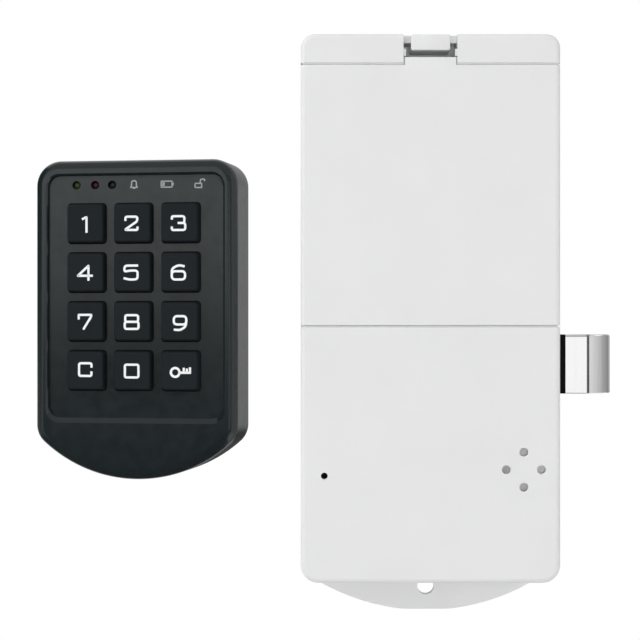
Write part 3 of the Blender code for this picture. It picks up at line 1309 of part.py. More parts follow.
def pan_head_screw(name, x, z, seat, length):
    """Screw whose flat head lies on the face at seat, driven towards -Y."""
    head = seat + GAP
    profile = [
        (0, head + SCREW_HEAD_HEIGHT),
        (SCREW_SHANK_RADIUS, head + SCREW_HEAD_HEIGHT),
        (SCREW_HEAD_RADIUS, head + SCREW_HEAD_HEIGHT / 2),
        (SCREW_HEAD_RADIUS, head),
        (SCREW_SHANK_RADIUS, head),
        (SCREW_SHANK_RADIUS, head - length + SCREW_SHANK_RADIUS),
        (0, head - length),
    ]
    return turned(name, profile, (x, 0, z), "Y", SMALL_SEGMENTS, steel())


def make_buzzer():
    back = BOARD_FRONT - GAP
    profile = [
        (0, BUZZER_FRONT + BUZZER_PORT_DEPTH),
        (BUZZER_PORT_RADIUS, BUZZER_FRONT + BUZZER_PORT_DEPTH),
        (BUZZER_PORT_RADIUS, BUZZER_FRONT),
        (BUZZER_RADIUS - BUZZER_EDGE, BUZZER_FRONT),
        (BUZZER_RADIUS, BUZZER_FRONT + BUZZER_EDGE),
        (BUZZER_RADIUS, back),
        (0, back),
    ]
    turned("buzzer", profile, (BUZZER_X, 0, BUZZER_Z), "Y", ROUND_SEGMENTS, black_plastic())


def make_reset_switch():
    half = SWITCH_SIZE / 2
    back = BOARD_FRONT - GAP
    front = back - SWITCH_HEIGHT
    low = (PIN_HOLE_X - half, front, PIN_HOLE_Z - half)
    high = (PIN_HOLE_X + half, back, PIN_HOLE_Z + half)
    switch = box("reset_switch", low, high, black_plastic())
    place = (PIN_HOLE_X, 0, PIN_HOLE_Z)
    bore = PLUNGER_RADIUS + GAP
    cut(switch, rod("bore", bore, front - OVERRUN, front + SWITCH_BORE_DEPTH, place))
    start = CAVITY_FRONT + PLUNGER_FRONT_ROOM
    end = front + SWITCH_BORE_DEPTH - PLUNGER_TRAVEL - GAP
    plunger = rod("reset_plunger", PLUNGER_RADIUS, start, end, place, "Y", SMALL_SEGMENTS, nylon())
    move_origin(plunger, (PIN_HOLE_X, start, PIN_HOLE_Z))


def make_board_socket():
    """Shrouded socket behind the cable window, open towards the door."""
    half_width = SOCKET_WIDTH / 2
    half_height = SOCKET_HEIGHT / 2
    front = BOARD_BACK + GAP
    back = front + SOCKET_LENGTH
    low = (CABLE_WINDOW_X - half_width, front, CABLE_WINDOW_Z - half_height)
    high = (CABLE_WINDOW_X + half_width, back, CABLE_WINDOW_Z + half_height)
    socket = box("board_socket", low, high, nylon())
    low = (low[0] + SOCKET_WALL, front + SOCKET_WALL, low[2] + SOCKET_WALL)
    high = (high[0] - SOCKET_WALL, back + OVERRUN, high[2] - SOCKET_WALL)
    cut(socket, box("mouth", low, high))


def make_lock_screws():
    for number, (x, z) in enumerate(housing_screw_places(), 1):
        countersunk_screw(f"housing_screw_{number}", x, z, SCREW_LENGTH)
    for number, (x, z) in enumerate(frame_screw_places(), 1):
        countersunk_screw(f"frame_screw_{number}", x, z, SHORT_SCREW_LENGTH)
    length = SHORT_SCREW_LENGTH
    for number, x in enumerate((BOARD_SCREW_LEFT_X, BOARD_SCREW_RIGHT_X), 1):
        pan_head_screw(f"board_screw_{number}", x, BOARD_SCREW_Z, BOARD_BACK, length)


def make_lock_unit():
    make_base_plate()
    make_lock_housing()
    make_battery_cover()
    make_cover_clip()
    make_cells()
    make_contacts()
    make_mechanism_frame()
    make_bolt_carrier()
    make_bolt_nose()
    make_bolt_spring()
    make_gears()
    make_motor()
    make_main_board()
    make_buzzer()
    make_reset_switch()
    make_board_socket()
    make_lock_screws()


# Keypad unit


def keypad_outline(inset):
    """Rounded top, straight sides and a curved chin that joins them through small rounds."""
    half = KEYPAD_HALF - inset
    top = KEYPAD_TOP - inset
    top_radius = KEYPAD_TOP_RADIUS - inset
    low_radius = KEYPAD_LOWER_RADIUS - inset
    arc_radius = KEYPAD_ARC_RADIUS - inset
    arc_z = KEYPAD_ARC_RADIUS - KEYPAD_TOP
    low_x = half - low_radius
    low_z = arc_z - math.sqrt((arc_radius - low_radius) ** 2 - low_x**2)
    join_angle = math.atan2(low_z - arc_z, low_x)
    quarter = math.pi / 2
    right_top = arc_points((half - top_radius, top - top_radius), top_radius, 0, quarter, CORNER_STEPS)
    right_low = arc_points((low_x, low_z), low_radius, join_angle, 0, CORNER_STEPS)
    chin = arc_points((0, arc_z), arc_radius, -math.pi - join_angle, join_angle, KEYPAD_ARC_STEPS)
    left_top = [(-x, z) for x, z in reversed(right_top)]
    left_low = [(-x, z) for x, z in reversed(right_low)]
    return chin + right_low[1:] + right_top + left_top + left_low[:-1]


def key_place(row, column):
    x = KEY_FIELD_X + (column - (KEY_COLUMNS - 1) / 2) * KEY_PITCH_X
    return x, KEY_FIRST_Z - row * KEY_PITCH_Z


def key_places():
    for row in range(KEY_ROWS):
        for column in range(KEY_COLUMNS):
            yield KEY_NAMES[row][column], key_place(row, column)


def make_keypad_shell():
    sections = [(0, keypad_outline(0))]
    for step in range(EDGE_STEPS + 1):
        angle = math.pi / 2 * step / EDGE_STEPS
        depth = KEYPAD_EDGE_ROUND * (1 - math.sin(angle))
        inset = KEYPAD_EDGE_ROUND * (1 - math.cos(angle))
        sections.append((KEYPAD_FRONT + depth, keypad_outline(inset)))
    shell = loft("keypad_shell", sections, dark_plastic())
    cut(shell, prism("cavity", keypad_outline(KEYPAD_WALL), PANEL_BACK, OVERRUN))
    rebate = keypad_outline(KEYPAD_WALL - BACK_PLATE_STEP)
    cut(shell, prism("rebate", rebate, REBATE_FRONT, OVERRUN))
    centre = (0, PANEL_TOP - PANEL_HEIGHT / 2)
    floor = centred_outline(centre, PANEL_WIDTH, PANEL_HEIGHT, PANEL_RADIUS)
    draft = 2 * PANEL_DRAFT
    mouth = centred_outline(centre, PANEL_WIDTH + draft, PANEL_HEIGHT + draft, PANEL_RADIUS + PANEL_DRAFT)
    panel = [(PANEL_FACE, floor), (KEYPAD_FRONT, mouth), (KEYPAD_FRONT - OVERRUN, mouth)]
    cut(shell, loft("panel", panel))
    front = KEYPAD_FRONT - OVERRUN
    back = PANEL_BACK + OVERRUN
    for name, place in key_places():
        hole = centred_outline(place, KEY_HOLE_WIDTH, KEY_HOLE_HEIGHT, KEY_RADIUS + GAP, KEY_STEPS)
        cut(shell, prism("key_hole", hole, front, back))
    for name, x in LAMP_PLACES:
        hole = circle((x, LAMP_Z), LAMP_RADIUS + GAP, SMALL_SEGMENTS)
        cut(shell, prism("lamp_hole", hole, front, back))
    for x in (-KEYPAD_BOSS_X, KEYPAD_BOSS_X):
        for z in KEYPAD_BOSS_Z:
            start = PANEL_BACK - WELD
            end = KEYPAD_BOARD_FRONT - GAP
            join(shell, rod("board_post", KEYPAD_BOSS_RADIUS, start, end, (x, 0, z), "Y", SMALL_SEGMENTS))
            tip = KEYPAD_BOARD_BACK + GAP
            radius = KEYPAD_BOSS_PIN_RADIUS
            join(shell, rod("board_pin", radius, end - WELD, tip, (x, 0, z), "Y", SMALL_SEGMENTS))
    for x in (-KEYPAD_SCREW_X, KEYPAD_SCREW_X):
        place = (x, 0, KEYPAD_SCREW_Z)
        start = PANEL_BACK - WELD
        join(shell, rod("screw_boss", KEYPAD_SCREW_BOSS_RADIUS, start, REBATE_FRONT, place))
        cut(shell, countersink(x, KEYPAD_SCREW_Z, SHORT_SCREW_LENGTH))
    return [shell]


def make_keys():
    """Drafted caps, each kept in by a flange behind the front wall."""
    keys = []
    flange = 2 * (GAP + KEY_FLANGE)
    for name, (x, z) in key_places():
        place = (x, z)
        wide = centred_outline(
            place, KEY_WIDTH + flange, KEY_HEIGHT + flange, KEY_RADIUS, KEY_STEPS
        )
        stem = centred_outline(place, KEY_WIDTH, KEY_HEIGHT, KEY_RADIUS, KEY_STEPS)
        shoulder = centred_outline(
            place, KEY_WIDTH - 2 * KEY_DRAFT, KEY_HEIGHT - 2 * KEY_DRAFT, KEY_RADIUS, KEY_STEPS
        )
        trim = 2 * (KEY_DRAFT + KEY_EDGE)
        face = centred_outline(
            place, KEY_WIDTH - trim, KEY_HEIGHT - trim, KEY_RADIUS - KEY_EDGE, KEY_STEPS
        )
        sections = [
            (KEY_FLANGE_BACK, wide),
            (KEY_FLANGE_FRONT, wide),
            (KEY_FLANGE_FRONT, stem),
            (PANEL_FACE, stem),
            (KEY_FACE + KEY_EDGE, shoulder),
            (KEY_FACE, face),
        ]
        key = loft(name, sections, key_plastic())
        move_origin(key, (x, KEY_FLANGE_BACK, z))
        keys.append(key)
    return keys


def make_lamps():
    colours = {
        "lamp_green": (0.06, 0.12, 0.02),
        "lamp_red": (0.12, 0.01, 0.015),
        "lamp_open": (0.03, 0.045, 0.04),
    }
    lamps = []
    for name, x in LAMP_PLACES:
        tip = PANEL_FACE + LAMP_SINK
        profile = [
            (0, tip),
            (LAMP_RADIUS / 2, tip + LAMP_DOME / 4),
            (LAMP_RADIUS, tip + LAMP_DOME),
            (LAMP_RADIUS, PANEL_BACK + GAP),
            (LAMP_BASE_RADIUS, PANEL_BACK + GAP),
            (LAMP_BASE_RADIUS, KEYPAD_BOARD_FRONT - GAP),
            (0, KEYPAD_BOARD_FRONT - GAP),
        ]
        look = lens(name + "_lens", colours[name])
        lamps.append(turned(name, profile, (x, 0, LAMP_Z), "Y", SMALL_SEGMENTS, look))
    return lamps


def make_rubber_mat():
    """One sheet with a dome behind each key."""
    left, top = key_place(0, 0)
    right, bottom = key_place(KEY_ROWS - 1, KEY_COLUMNS - 1)
    low = (left - DOME_WIDE - MAT_MARGIN, bottom - DOME_WIDE - MAT_MARGIN)
    high = (right + DOME_WIDE + MAT_MARGIN, top + DOME_WIDE + MAT_MARGIN)
    outline = rounded_outline(low, high, MAT_MARGIN, MAT_MARGIN, KEY_STEPS)
    mat = prism("keypad_rubber_mat", outline, MAT_FRONT, MAT_BACK, silicone())
    skirt = MAT_FRONT - DOME_HEIGHT * DOME_SKIRT_share
    for name, (x, z) in key_places():
        profile = [
            (0, DOME_TOP),
            (DOME_NARROW, DOME_TOP),
            (DOME_NARROW, skirt),
            (DOME_WIDE, MAT_FRONT + WELD),
            (0, MAT_FRONT + WELD),
        ]
        join(mat, turned("dome", profile, (x, 0, z), "Y", SMALL_SEGMENTS))
    return [mat]


def make_keypad_board():
    low = (-KEYPAD_BOARD_HALF, KEYPAD_BOARD_BOTTOM)
    high = (KEYPAD_BOARD_HALF, KEYPAD_BOARD_TOP)
    outline = rounded_outline(low, high, KEYPAD_WALL, KEYPAD_BOARD_RADIUS)
    board = prism(
        "keypad_circuit_board", outline, KEYPAD_BOARD_FRONT, KEYPAD_BOARD_BACK, board_green()
    )
    for x in (-KEYPAD_BOSS_X, KEYPAD_BOSS_X):
        for z in KEYPAD_BOSS_Z:
            hole = circle((x, z), KEYPAD_BOSS_PIN_RADIUS + GAP, SMALL_SEGMENTS)
            front = KEYPAD_BOARD_FRONT - OVERRUN
            cut(board, prism("pin_hole", hole, front, KEYPAD_BOARD_BACK + OVERRUN))
    half = KEYPAD_CHIP_WIDTH / 2
    for side in (-1, 1):
        x = side * KEYPAD_CHIP_WIDTH * 1.5
        chip_low = (x - half, KEYPAD_BOARD_BACK - WELD, KEYPAD_CHIP_Z - half)
        chip_high = (x + half, KEYPAD_BOARD_BACK + KEYPAD_CHIP_HEIGHT, KEYPAD_CHIP_Z + half)
        join(board, box("chip", chip_low, chip_high))
    return [board]


def make_keypad_socket():
    half_width = SOCKET_WIDTH / 2
    half_height = SOCKET_HEIGHT / 2
    front = KEYPAD_BOARD_BACK + GAP
    back = front + KEYPAD_SOCKET_LENGTH
    low = (-half_width, front, KEYPAD_SOCKET_Z - half_height)
    high = (half_width, back, KEYPAD_SOCKET_Z + half_height)
    socket = box("keypad_socket", low, high, nylon())
    low = (low[0] + SOCKET_WALL, front + SOCKET_WALL, low[2] + SOCKET_WALL)
    high = (high[0] - SOCKET_WALL, back + OVERRUN, high[2] - SOCKET_WALL)
    cut(socket, box("mouth", low, high))
    return [socket]


def make_keypad_back():
    """Back plate with the cable window, two insert bosses and its screws and inserts."""
    outline = keypad_outline(KEYPAD_WALL - BACK_PLATE_STEP + GAP)
    plate = prism("keypad_back_plate", outline, BACK_PLATE_FRONT, 0, dark_plastic())
    window = centred_outline(
        (0, KEYPAD_WINDOW_Z), KEYPAD_WINDOW_WIDTH, KEYPAD_WINDOW_HEIGHT, KEYPAD_WINDOW_RADIUS
    )
    cut(plate, prism("cable_window", window, BACK_PLATE_FRONT - OVERRUN, OVERRUN))
    pieces = [plate]
    boss_radius = INSERT_RADIUS + GAP + INSERT_BOSS_WALL
    boss_front = BACK_PLATE_FRONT - INSERT_BOSS_HEIGHT
    for number, z in enumerate(INSERT_Z, 1):
        place = (0, 0, z)
        join(plate, rod("boss", boss_radius, boss_front, BACK_PLATE_FRONT + WELD, place))
        bore = INSERT_RADIUS + GAP
        cut(plate, rod("insert_seat", bore, boss_front - OVERRUN, OVERRUN, place))
        name = f"threaded_insert_{number}"
        insert = rod(name, INSERT_RADIUS, boss_front, -GAP, place, look=brass())
        hole = rod("bore", INSERT_BORE_RADIUS, boss_front - OVERRUN, OVERRUN, place)
        cut(insert, hole)
        pieces.append(insert)
    for number, x in enumerate((-KEYPAD_SCREW_X, KEYPAD_SCREW_X), 1):
        cut(plate, countersink(x, KEYPAD_SCREW_Z, SHORT_SCREW_LENGTH))
        name = f"keypad_screw_{number}"
        pieces.append(countersunk_screw(name, x, KEYPAD_SCREW_Z, SHORT_SCREW_LENGTH))
    return pieces


def make_keypad_unit():
    frame = bpy.data.objects.new("keypad_unit", None)
    bpy.context.scene.collection.objects.link(frame)
    pieces = make_keypad_shell()
    pieces += make_keys()
    pieces += make_lamps()
    pieces += make_rubber_mat()
    pieces += make_keypad_board()
    pieces += make_keypad_socket()
    pieces += make_keypad_back()
    for piece in pieces:
        piece.parent = frame
    frame.location = (KEYPAD_X, KEYPAD_Y, KEYPAD_Z)
    frame.rotation_euler = (0, 0, KEYPAD_YAW)


def shade_all():
    for obj in bpy.context.scene.objects:
        if obj.type == "MESH":
            obj.data.shade_smooth()
            obj.data.set_sharp_from_angle(angle=SMOOTH_ANGLE)


def main():
    for obj in list(bpy.data.objects):
        bpy.data.objects.remove(obj, do_unlink=True)
    make_lock_unit()
    make_keypad_unit()
    shade_all()
    bpy.context.view_layer.update()


main()
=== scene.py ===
import json
import math

import bmesh
import bpy
from mathutils import Matrix, Vector


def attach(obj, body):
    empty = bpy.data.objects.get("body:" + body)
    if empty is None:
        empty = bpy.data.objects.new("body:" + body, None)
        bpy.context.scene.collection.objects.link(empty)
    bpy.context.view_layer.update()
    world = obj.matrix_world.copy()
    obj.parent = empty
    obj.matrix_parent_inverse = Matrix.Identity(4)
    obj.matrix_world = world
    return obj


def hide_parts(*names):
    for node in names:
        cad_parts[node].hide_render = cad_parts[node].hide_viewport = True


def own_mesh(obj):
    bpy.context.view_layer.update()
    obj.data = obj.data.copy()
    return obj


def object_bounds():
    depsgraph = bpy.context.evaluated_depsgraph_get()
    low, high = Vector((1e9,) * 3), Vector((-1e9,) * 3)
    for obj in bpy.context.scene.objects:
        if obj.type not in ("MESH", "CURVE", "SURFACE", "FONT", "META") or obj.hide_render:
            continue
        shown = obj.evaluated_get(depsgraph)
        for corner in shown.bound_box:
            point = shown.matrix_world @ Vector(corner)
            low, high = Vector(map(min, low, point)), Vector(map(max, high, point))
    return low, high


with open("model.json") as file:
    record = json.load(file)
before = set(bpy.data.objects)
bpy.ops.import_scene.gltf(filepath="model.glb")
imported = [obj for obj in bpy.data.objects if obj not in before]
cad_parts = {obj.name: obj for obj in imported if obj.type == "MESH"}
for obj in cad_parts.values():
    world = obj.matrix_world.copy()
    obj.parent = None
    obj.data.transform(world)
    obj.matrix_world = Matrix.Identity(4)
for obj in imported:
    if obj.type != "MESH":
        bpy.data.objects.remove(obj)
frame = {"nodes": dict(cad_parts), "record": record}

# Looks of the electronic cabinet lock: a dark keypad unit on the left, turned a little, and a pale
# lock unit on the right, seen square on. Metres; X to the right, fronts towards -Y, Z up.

LOADED_BOX = [list(corner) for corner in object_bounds()]
MM = 0.001


def mm(*values):
    """Lengths given in millimetres, in metres."""
    return tuple(value * MM for value in values)


def span(half, middle=0):
    """Both ends of a span, from its half length and its middle."""
    return (middle - half, middle + half)


GAP, SEAM, OVERRUN, WELD = mm(0.3, 0.5, 1.0, 0.2)
QUARTER = math.pi / 2
SIDES = (-1, 1)

# Fineness
CORNER_STEPS = 12
EDGE_STEPS = 7
FLANGE_STEPS = 40
KEYPAD_ARC_STEPS = 48
BOLT_SLOPE_STEPS = 28
COIL_STEPS = 28
POST_SEGMENTS = 24
SMALL_SEGMENTS = 32
HOLE_SEGMENTS = 40
SCREW_SEGMENTS = 48
ROUND_SEGMENTS = 64
WIRE_SIDES = 12
CURVE_STEPS = 8
KEYPAD_EDGE_STEPS = 10
SMOOTH_ANGLE = math.radians(32)
SHARP_ANGLE = math.radians(24)
FLAT_AREA = 60 * MM * MM
SOFT_WIDTH = 0.22 * MM
SOFT_SEGMENTS = 3

# Lock unit
LOCK_HALF, LOCK_TOP, LOCK_BOTTOM = mm(32.5, 68.75, -68.75)
LOCK_FRONT, HOUSING_BACK, PLATE_FRONT = mm(-24.0, -2.8, -2.5)
LOCK_TOP_RADIUS, LOCK_BOTTOM_RADIUS, LOCK_EDGE_ROUND = mm(3.5, 4.5, 1.2)
SIDE_WALL = 2.0 * MM
CAVITY_HALF, CAVITY_TOP, CAVITY_BOTTOM = mm(30.5, 66.75, -66.75)
CAVITY_FRONT, CAVITY_RADIUS = mm(-21.8, 2.5)

# Base plate with its flange, holes, window and ribs
FLANGE_RADIUS, FLANGE_CENTRE_Z, FLANGE_HALF = mm(56.0, -22.9, 28.0)
FLANGE_FLAT_DROP, FLANGE_HOLE_Z = mm(0.3, -72.5)
DOOR_HOLE_RADIUS, DRIVER_HOLE_RADIUS, WINDOW_RADIUS = mm(2.2, 4.0, 1.0)
UPPER_HOLES = (mm(-18.0, 40.0), mm(18.0, 40.0))
LOCK_WINDOW = mm(-19.0, -33.0)
LOCK_WINDOW_SIZE = mm(13.0, 9.0)
PLATE_RIB = mm(1.2, 1.5)
SIDE_RIB_TOP, LOWER_RIB_HALF = mm(52.0, 18.0)
PLATE_ROUND = 0.7 * MM

# Cover, its seams and its clip
COVER_BOTTOM, COVER_TOP = mm(-4.2, 60.95)
LOW_SEAM, HIGH_SEAM = mm(-4.7, 61.45)
COVER_BACK, SKIRT_BACK, SKIRT_INNER = mm(-22.4, -19.0, 31.0)
LEDGE_FRONT, LEDGE_BACK = mm(-22.1, -20.1)
LIP_SINK, LIP_CLEARANCE, NOTCH_LIP = mm(0.45, 0.1, 0.6)
HOOK_X, HOOK_HALF, HOOK_ARM, HOOK_DROP, HOOK_WINDOW = mm(18.0, 4.0, 1.2, 2.0, 4.6)
NOTCH_HALF, NOTCH_BACK = mm(6.75, -20.5)
POCKET_BACK, POCKET_ROOF = mm(-14.5, 66.9)
TONGUE_TOP = 62.9 * MM
CLIP_HALF, CLIP_ARM_HALF, CLIP_ROOT = mm(4.9, 4.4, -14.8)
CLIP_ARM_LOW, CLIP_ARM_HIGH = mm(61.75, 62.75)
TAB_FRONT, TAB_BACK, TAB_BOTTOM, TAB_TOP = mm(-23.8, -22.3, 64.7, 68.6)
LEG_TOP, NOSE_FRONT, NOSE_BACK, NOSE_TOP = mm(65.9, -17.6, -16.2, 66.4)
CLIP_ROUND = 0.28 * MM
RIM_HOLLOW_INNER = 8.5 * MM

# Cell tray, cells and contacts
TRAY_HALF, TRAY_LOW, TRAY_HIGH = mm(29.7, 1.0, 58.7)
TRAY_FRONT, TRAY_BACK, TRAY_END_WALL = mm(-7.2, -6.0, 1.5)
TRAY_RIB = mm(1.2, 2.5)
CELL_PITCH, CELL_RADIUS, CELL_LENGTH, CELL_RIM = mm(14.8, 7.25, 50.5, 0.4)
CELL_Y, CELL_MIDDLE = mm(-14.75, 29.85)
CELLS = 4
CELL_NUB = mm(2.75, 1.2)
CELL_RINGS = (0.72, 0.76, 0.8)
CONTACT_HALF, CONTACT_THICKNESS, CONTACT_ROUND = mm(5.0, 0.4, 0.12)
SPRING_LENGTH, SPRING_WIDE, SPRING_NARROW, SPRING_WIRE = mm(4.6, 3.6, 2.2, 0.35)
SPRING_TURNS = 3
BUTTON_RADIUS, BUTTON_HEIGHT = mm(2.2, 0.6)

# Front openings and the screws behind
PIN_HOLE = mm(-26.6, -41.9)
PIN_HOLE_RADIUS = 0.85 * MM
PLUNGER_RADIUS, PLUNGER_FRONT, PLUNGER_BACK, PLUNGER_CAP = mm(1.2, -21.2, -15.3, 2.0)
BUZZER = mm(23.3, -40.3)
BUZZER_HOLE_RADIUS, BUZZER_HOLE_OFFSET = mm(1.1, 4.4)
GAUZE_RADIUS, GAUZE_FRONT, GAUZE_BACK = mm(6.6, -21.75, -21.45)
BOSS_RADIUS, BOARD_BOSS_RADIUS, BOARD_BOSS_END = mm(2.7, 2.5, -13.3)
SHANK_RADIUS, HEAD_RADIUS, HEAD_HEIGHT, SCREW_SINK = mm(1.2, 2.2, 1.3, 0.3)
RECESS_REACH = 0.62
RECESS_HALF, RECESS_DEPTH = mm(0.28, 0.75)
LONG_SCREW, SHORT_SCREW = mm(10.0, 6.0)
HOUSING_SCREWS = tuple(mm(x, z) for z in (63.6, -61.6) for x in (-25.6, 25.6))
FRAME_SCREWS = (mm(-14.0, -20.5), mm(11.5, -43.5))
BOARD_SCREWS = (mm(-16.5, -54.0), mm(20.0, -54.0))

# Bolt and its spring
BOLT_TOP, BOLT_BOTTOM, BOLT_MIDDLE_Z = mm(-6.6, -21.6, -14.1)
BOLT_FRONT, BOLT_BACK, BOLT_MIDDLE_Y = mm(-16.0, -6.0, -11.0)
NOSE_START_X, BOLT_FLAT_X, BOLT_SLOPE_X, BOLT_TIP_X = mm(34.8, 40.2, 40.9, 47.1)
BOLT_GROOVE, BOLT_SLOPE_DROP = mm(0.7, 0.4)
BOLT_SLOPE_START = math.radians(16)
BOLT_SLOPE_END = math.radians(74)
NOSE_TOP_ROUND, NOSE_LOW_ROUND = mm(0.55, 0.25)
MORTISE = mm(5.3, 2.8, 4.8)
COIL_START, COIL_END, COIL_FOOT = mm(-22.05, 1.5, -22.7)
COIL_RADIUS, COIL_WIRE = mm(2.5, 0.35)
COIL_TURNS = 8

# Keypad unit, in its own frame: the origin is the middle of its back
KEYPAD_YAW = math.radians(-9.5)
KEYPAD_HALF, KEYPAD_TOP, KEYPAD_FRONT, KEYPAD_WALL = mm(26.25, 40.5, -15.1, 2.0)
KEYPAD_PLACE = (-72.07 * MM, KEYPAD_HALF * math.sin(KEYPAD_YAW), -2.8 * MM)
KEYPAD_TOP_RADIUS, KEYPAD_LOWER_RADIUS, KEYPAD_ARC_RADIUS = mm(6.4, 6.0, 36.5)
KEYPAD_EDGE_ROUND = 2.4 * MM
PANEL_HALF, PANEL_TOP, PANEL_RADIUS, PANEL_DRAFT = mm(22.8, 36.6, 3.0, 0.55)
PANEL_FACE, PANEL_BACK = mm(-14.4, -12.8)
PANEL_CURVE = 0.8
PANEL_FOOT = mm(-24.9, -26.2)
CHANNEL_WIDTH, CHANNEL_FLOOR, CHANNEL_END = mm(0.75, -13.8, 0.05)
KEY_PITCH = mm(12.25, 12.42)
KEY_FIELD_X, KEY_FIRST_Z = mm(-0.3, 24.4)
KEY_SIZE = mm(10.0, 10.2)
KEY_DRAFT, KEY_ROUND, KEY_CORNER, KEY_FACE, KEY_CLEARANCE = mm(0.3, 0.55, 0.9, -16.6, 0.12)
KEY_FLANGE = mm(0.75, -12.5, -11.5)
KEY_CORNER_STEPS = 6
KEY_NAMES = (
    ("key_1", "key_2", "key_3"),
    ("key_4", "key_5", "key_6"),
    ("key_7", "key_8", "key_9"),
    ("key_clear", "key_0", "key_enter"),
)
LAMP_Z = 34.2 * MM
LAMP_X = {"lamp_green": -15.4 * MM, "lamp_red": -10.5 * MM, "lamp_open": -6.05 * MM}
LAMP_RADIUS, LAMP_FOOT_RADIUS, LAMP_HOLE_RADIUS = mm(0.8, 1.6, 1.1)
LAMP_BACK, LAMP_SINK, LAMP_CROWN = mm(-8.0, 0.35, 0.7)
BACK_PLATE_FRONT, REBATE_FRONT, BOARD_FRONT, BOARD_BACK = mm(-1.8, -2.1, -7.7, -6.3)
POST_X, POST_RADIUS, POST_PIN_RADIUS = mm(20.6, 1.8, 0.9)
POST_HEIGHTS = mm(20.0, -16.5)
KEYPAD_WINDOW = mm(0, 3.0)
KEYPAD_WINDOW_SIZE = mm(14.0, 9.0)
KEYPAD_SCREWS = (mm(-9.0, -30.5), mm(9.0, -30.5))
INSERTS = (mm(0, 24.0), mm(0, -14.0))
INSERT_RADIUS, INSERT_BORE, INSERT_BOSS_RADIUS, INSERT_FRONT = mm(2.6, 1.6, 4.2, -3.4)
GROOVE_SHARES = (0.3, 0.62)
GROOVE_DEPTH, GROOVE_LEAD, GROOVE_FLOOR, GROOVE_END = mm(0.25, 0.15, 0.25, 0.4)
MAT_LOW = mm(-17.15, -17.46)
MAT_HIGH = mm(16.55, 29.0)
MAT_FRONT, MAT_BACK, MAT_RADIUS = mm(-9.0, -8.0, 1.2)
DOME_TOP, DOME_SKIRT, DOME_NARROW, DOME_WIDE = mm(-11.2, -9.77, 2.0, 3.4)
STROKE, STATUS_STROKE, PICTOGRAM_STROKE, PRINT_HEIGHT = mm(0.58, 0.32, 0.6, 0.03)
CORNER_REACH = 0.48
MITER_LIMIT = 0.5

# Looks
CLOUD_SCALE, GLOSS_SCALE, LINE_SCALE = 60.0, 350.0, 900.0
GLOSS_SPREAD = 0.04
GRAIN_HEIGHT, LINE_HEIGHT = mm(0.02, 0.01)

# Camera, floor and light
CAMERA_PLACE = mm(-27.675, -474.0, -2.875)
CAMERA_LENS = 101.25
CAMERA_SENSOR = 36.0
CAMERA_CLIP = 0.01
FLOOR_Z = -0.45
FLOOR_SIZE = 24.0
WORLD_LEVEL = 0.47
LIGHT_TARGET = (-0.02, 0, 0)


def wire(tree, node, inputs):
    """Put links and plain values into a node's inputs."""
    for name, value in inputs.items():
        if isinstance(value, bpy.types.NodeSocket):
            tree.links.new(value, node.inputs[name])
        else:
            node.inputs[name].default_value = value
    return node


def add_node(tree, kind, inputs=None):
    return wire(tree, tree.nodes.new("ShaderNode" + kind), inputs or {})


def new_material(name):
    """Node material, its tree and its Principled shader."""
    made = bpy.data.materials.new(name)
    made.use_nodes = True
    return made, made.node_tree, made.node_tree.nodes["Principled BSDF"]


def along_axis(tree, axis):
    """Distance along one of the object's own axes."""
    place = add_node(tree, "TexCoord").outputs["Object"]
    return add_node(tree, "SeparateXYZ", {"Vector": place}).outputs[axis]


def noise(tree, scale, detail=2.0, stretch=None):
    """Noise in the object's own metres; stretch scales the three directions."""
    place = add_node(tree, "TexCoord").outputs["Object"]
    if stretch:
        place = add_node(tree, "Mapping", {"Vector": place, "Scale": stretch}).outputs["Vector"]
    inputs = {"Vector": place, "Scale": scale, "Detail": detail}
    return add_node(tree, "TexNoise", inputs).outputs["Fac"]


def remap(tree, value, low, high, start=0.3, end=0.7):
    """Value between start and end, spread from low to high."""
    inputs = {"Value": value, "From Min": start, "From Max": end, "To Min": low, "To Max": high}
    return add_node(tree, "MapRange", inputs).outputs["Result"]


def ramp(tree, value, stops, interpolation="LINEAR"):
    """Colour by a value, through (position, colour) stops."""
    node = add_node(tree, "ValToRGB", {"Fac": value})
    node.color_ramp.interpolation = interpolation
    elements = node.color_ramp.elements
    for (position, colour), element in zip((stops[0], stops[-1]), (elements[0], elements[1])):
        element.position = position
        element.color = (*colour, 1.0)
    for position, colour in stops[1:-1]:
        elements.new(position).color = (*colour, 1.0)
    return node.outputs["Color"]


def shades(tree, value, colour, dark, light):
    """Colour between a darker and a lighter version of itself, by a value."""
    stops = []
    for position, factor in ((0.3, dark), (0.7, light)):
        stops.append((position, tuple(channel * factor for channel in colour)))
    return ramp(tree, value, stops)


def bump(tree, value, strength, distance):
    inputs = {"Strength": strength, "Distance": distance, "Height": value}
    return add_node(tree, "Bump", inputs).outputs["Normal"]


def moulded(
    name, colour, roughness, grain=2600.0, strength=0.12, spread=0.05, coat=0.0, gloss_level=0.5
):
    """Moulded plastic: faint clouding, uneven gloss and a fine spark-eroded grain."""
    made, tree, shader = new_material(name)
    inputs = {
        "Base Color": shades(tree, noise(tree, CLOUD_SCALE, 3.0), colour, 1 - spread, 1 + spread),
        "Roughness": remap(tree, noise(tree, GLOSS_SCALE), *span(GLOSS_SPREAD, roughness)),
        "Coat Weight": coat,
        "Specular IOR Level": gloss_level,
        "Normal": bump(tree, noise(tree, grain), strength, GRAIN_HEIGHT),
    }
    wire(tree, shader, inputs)
    return made


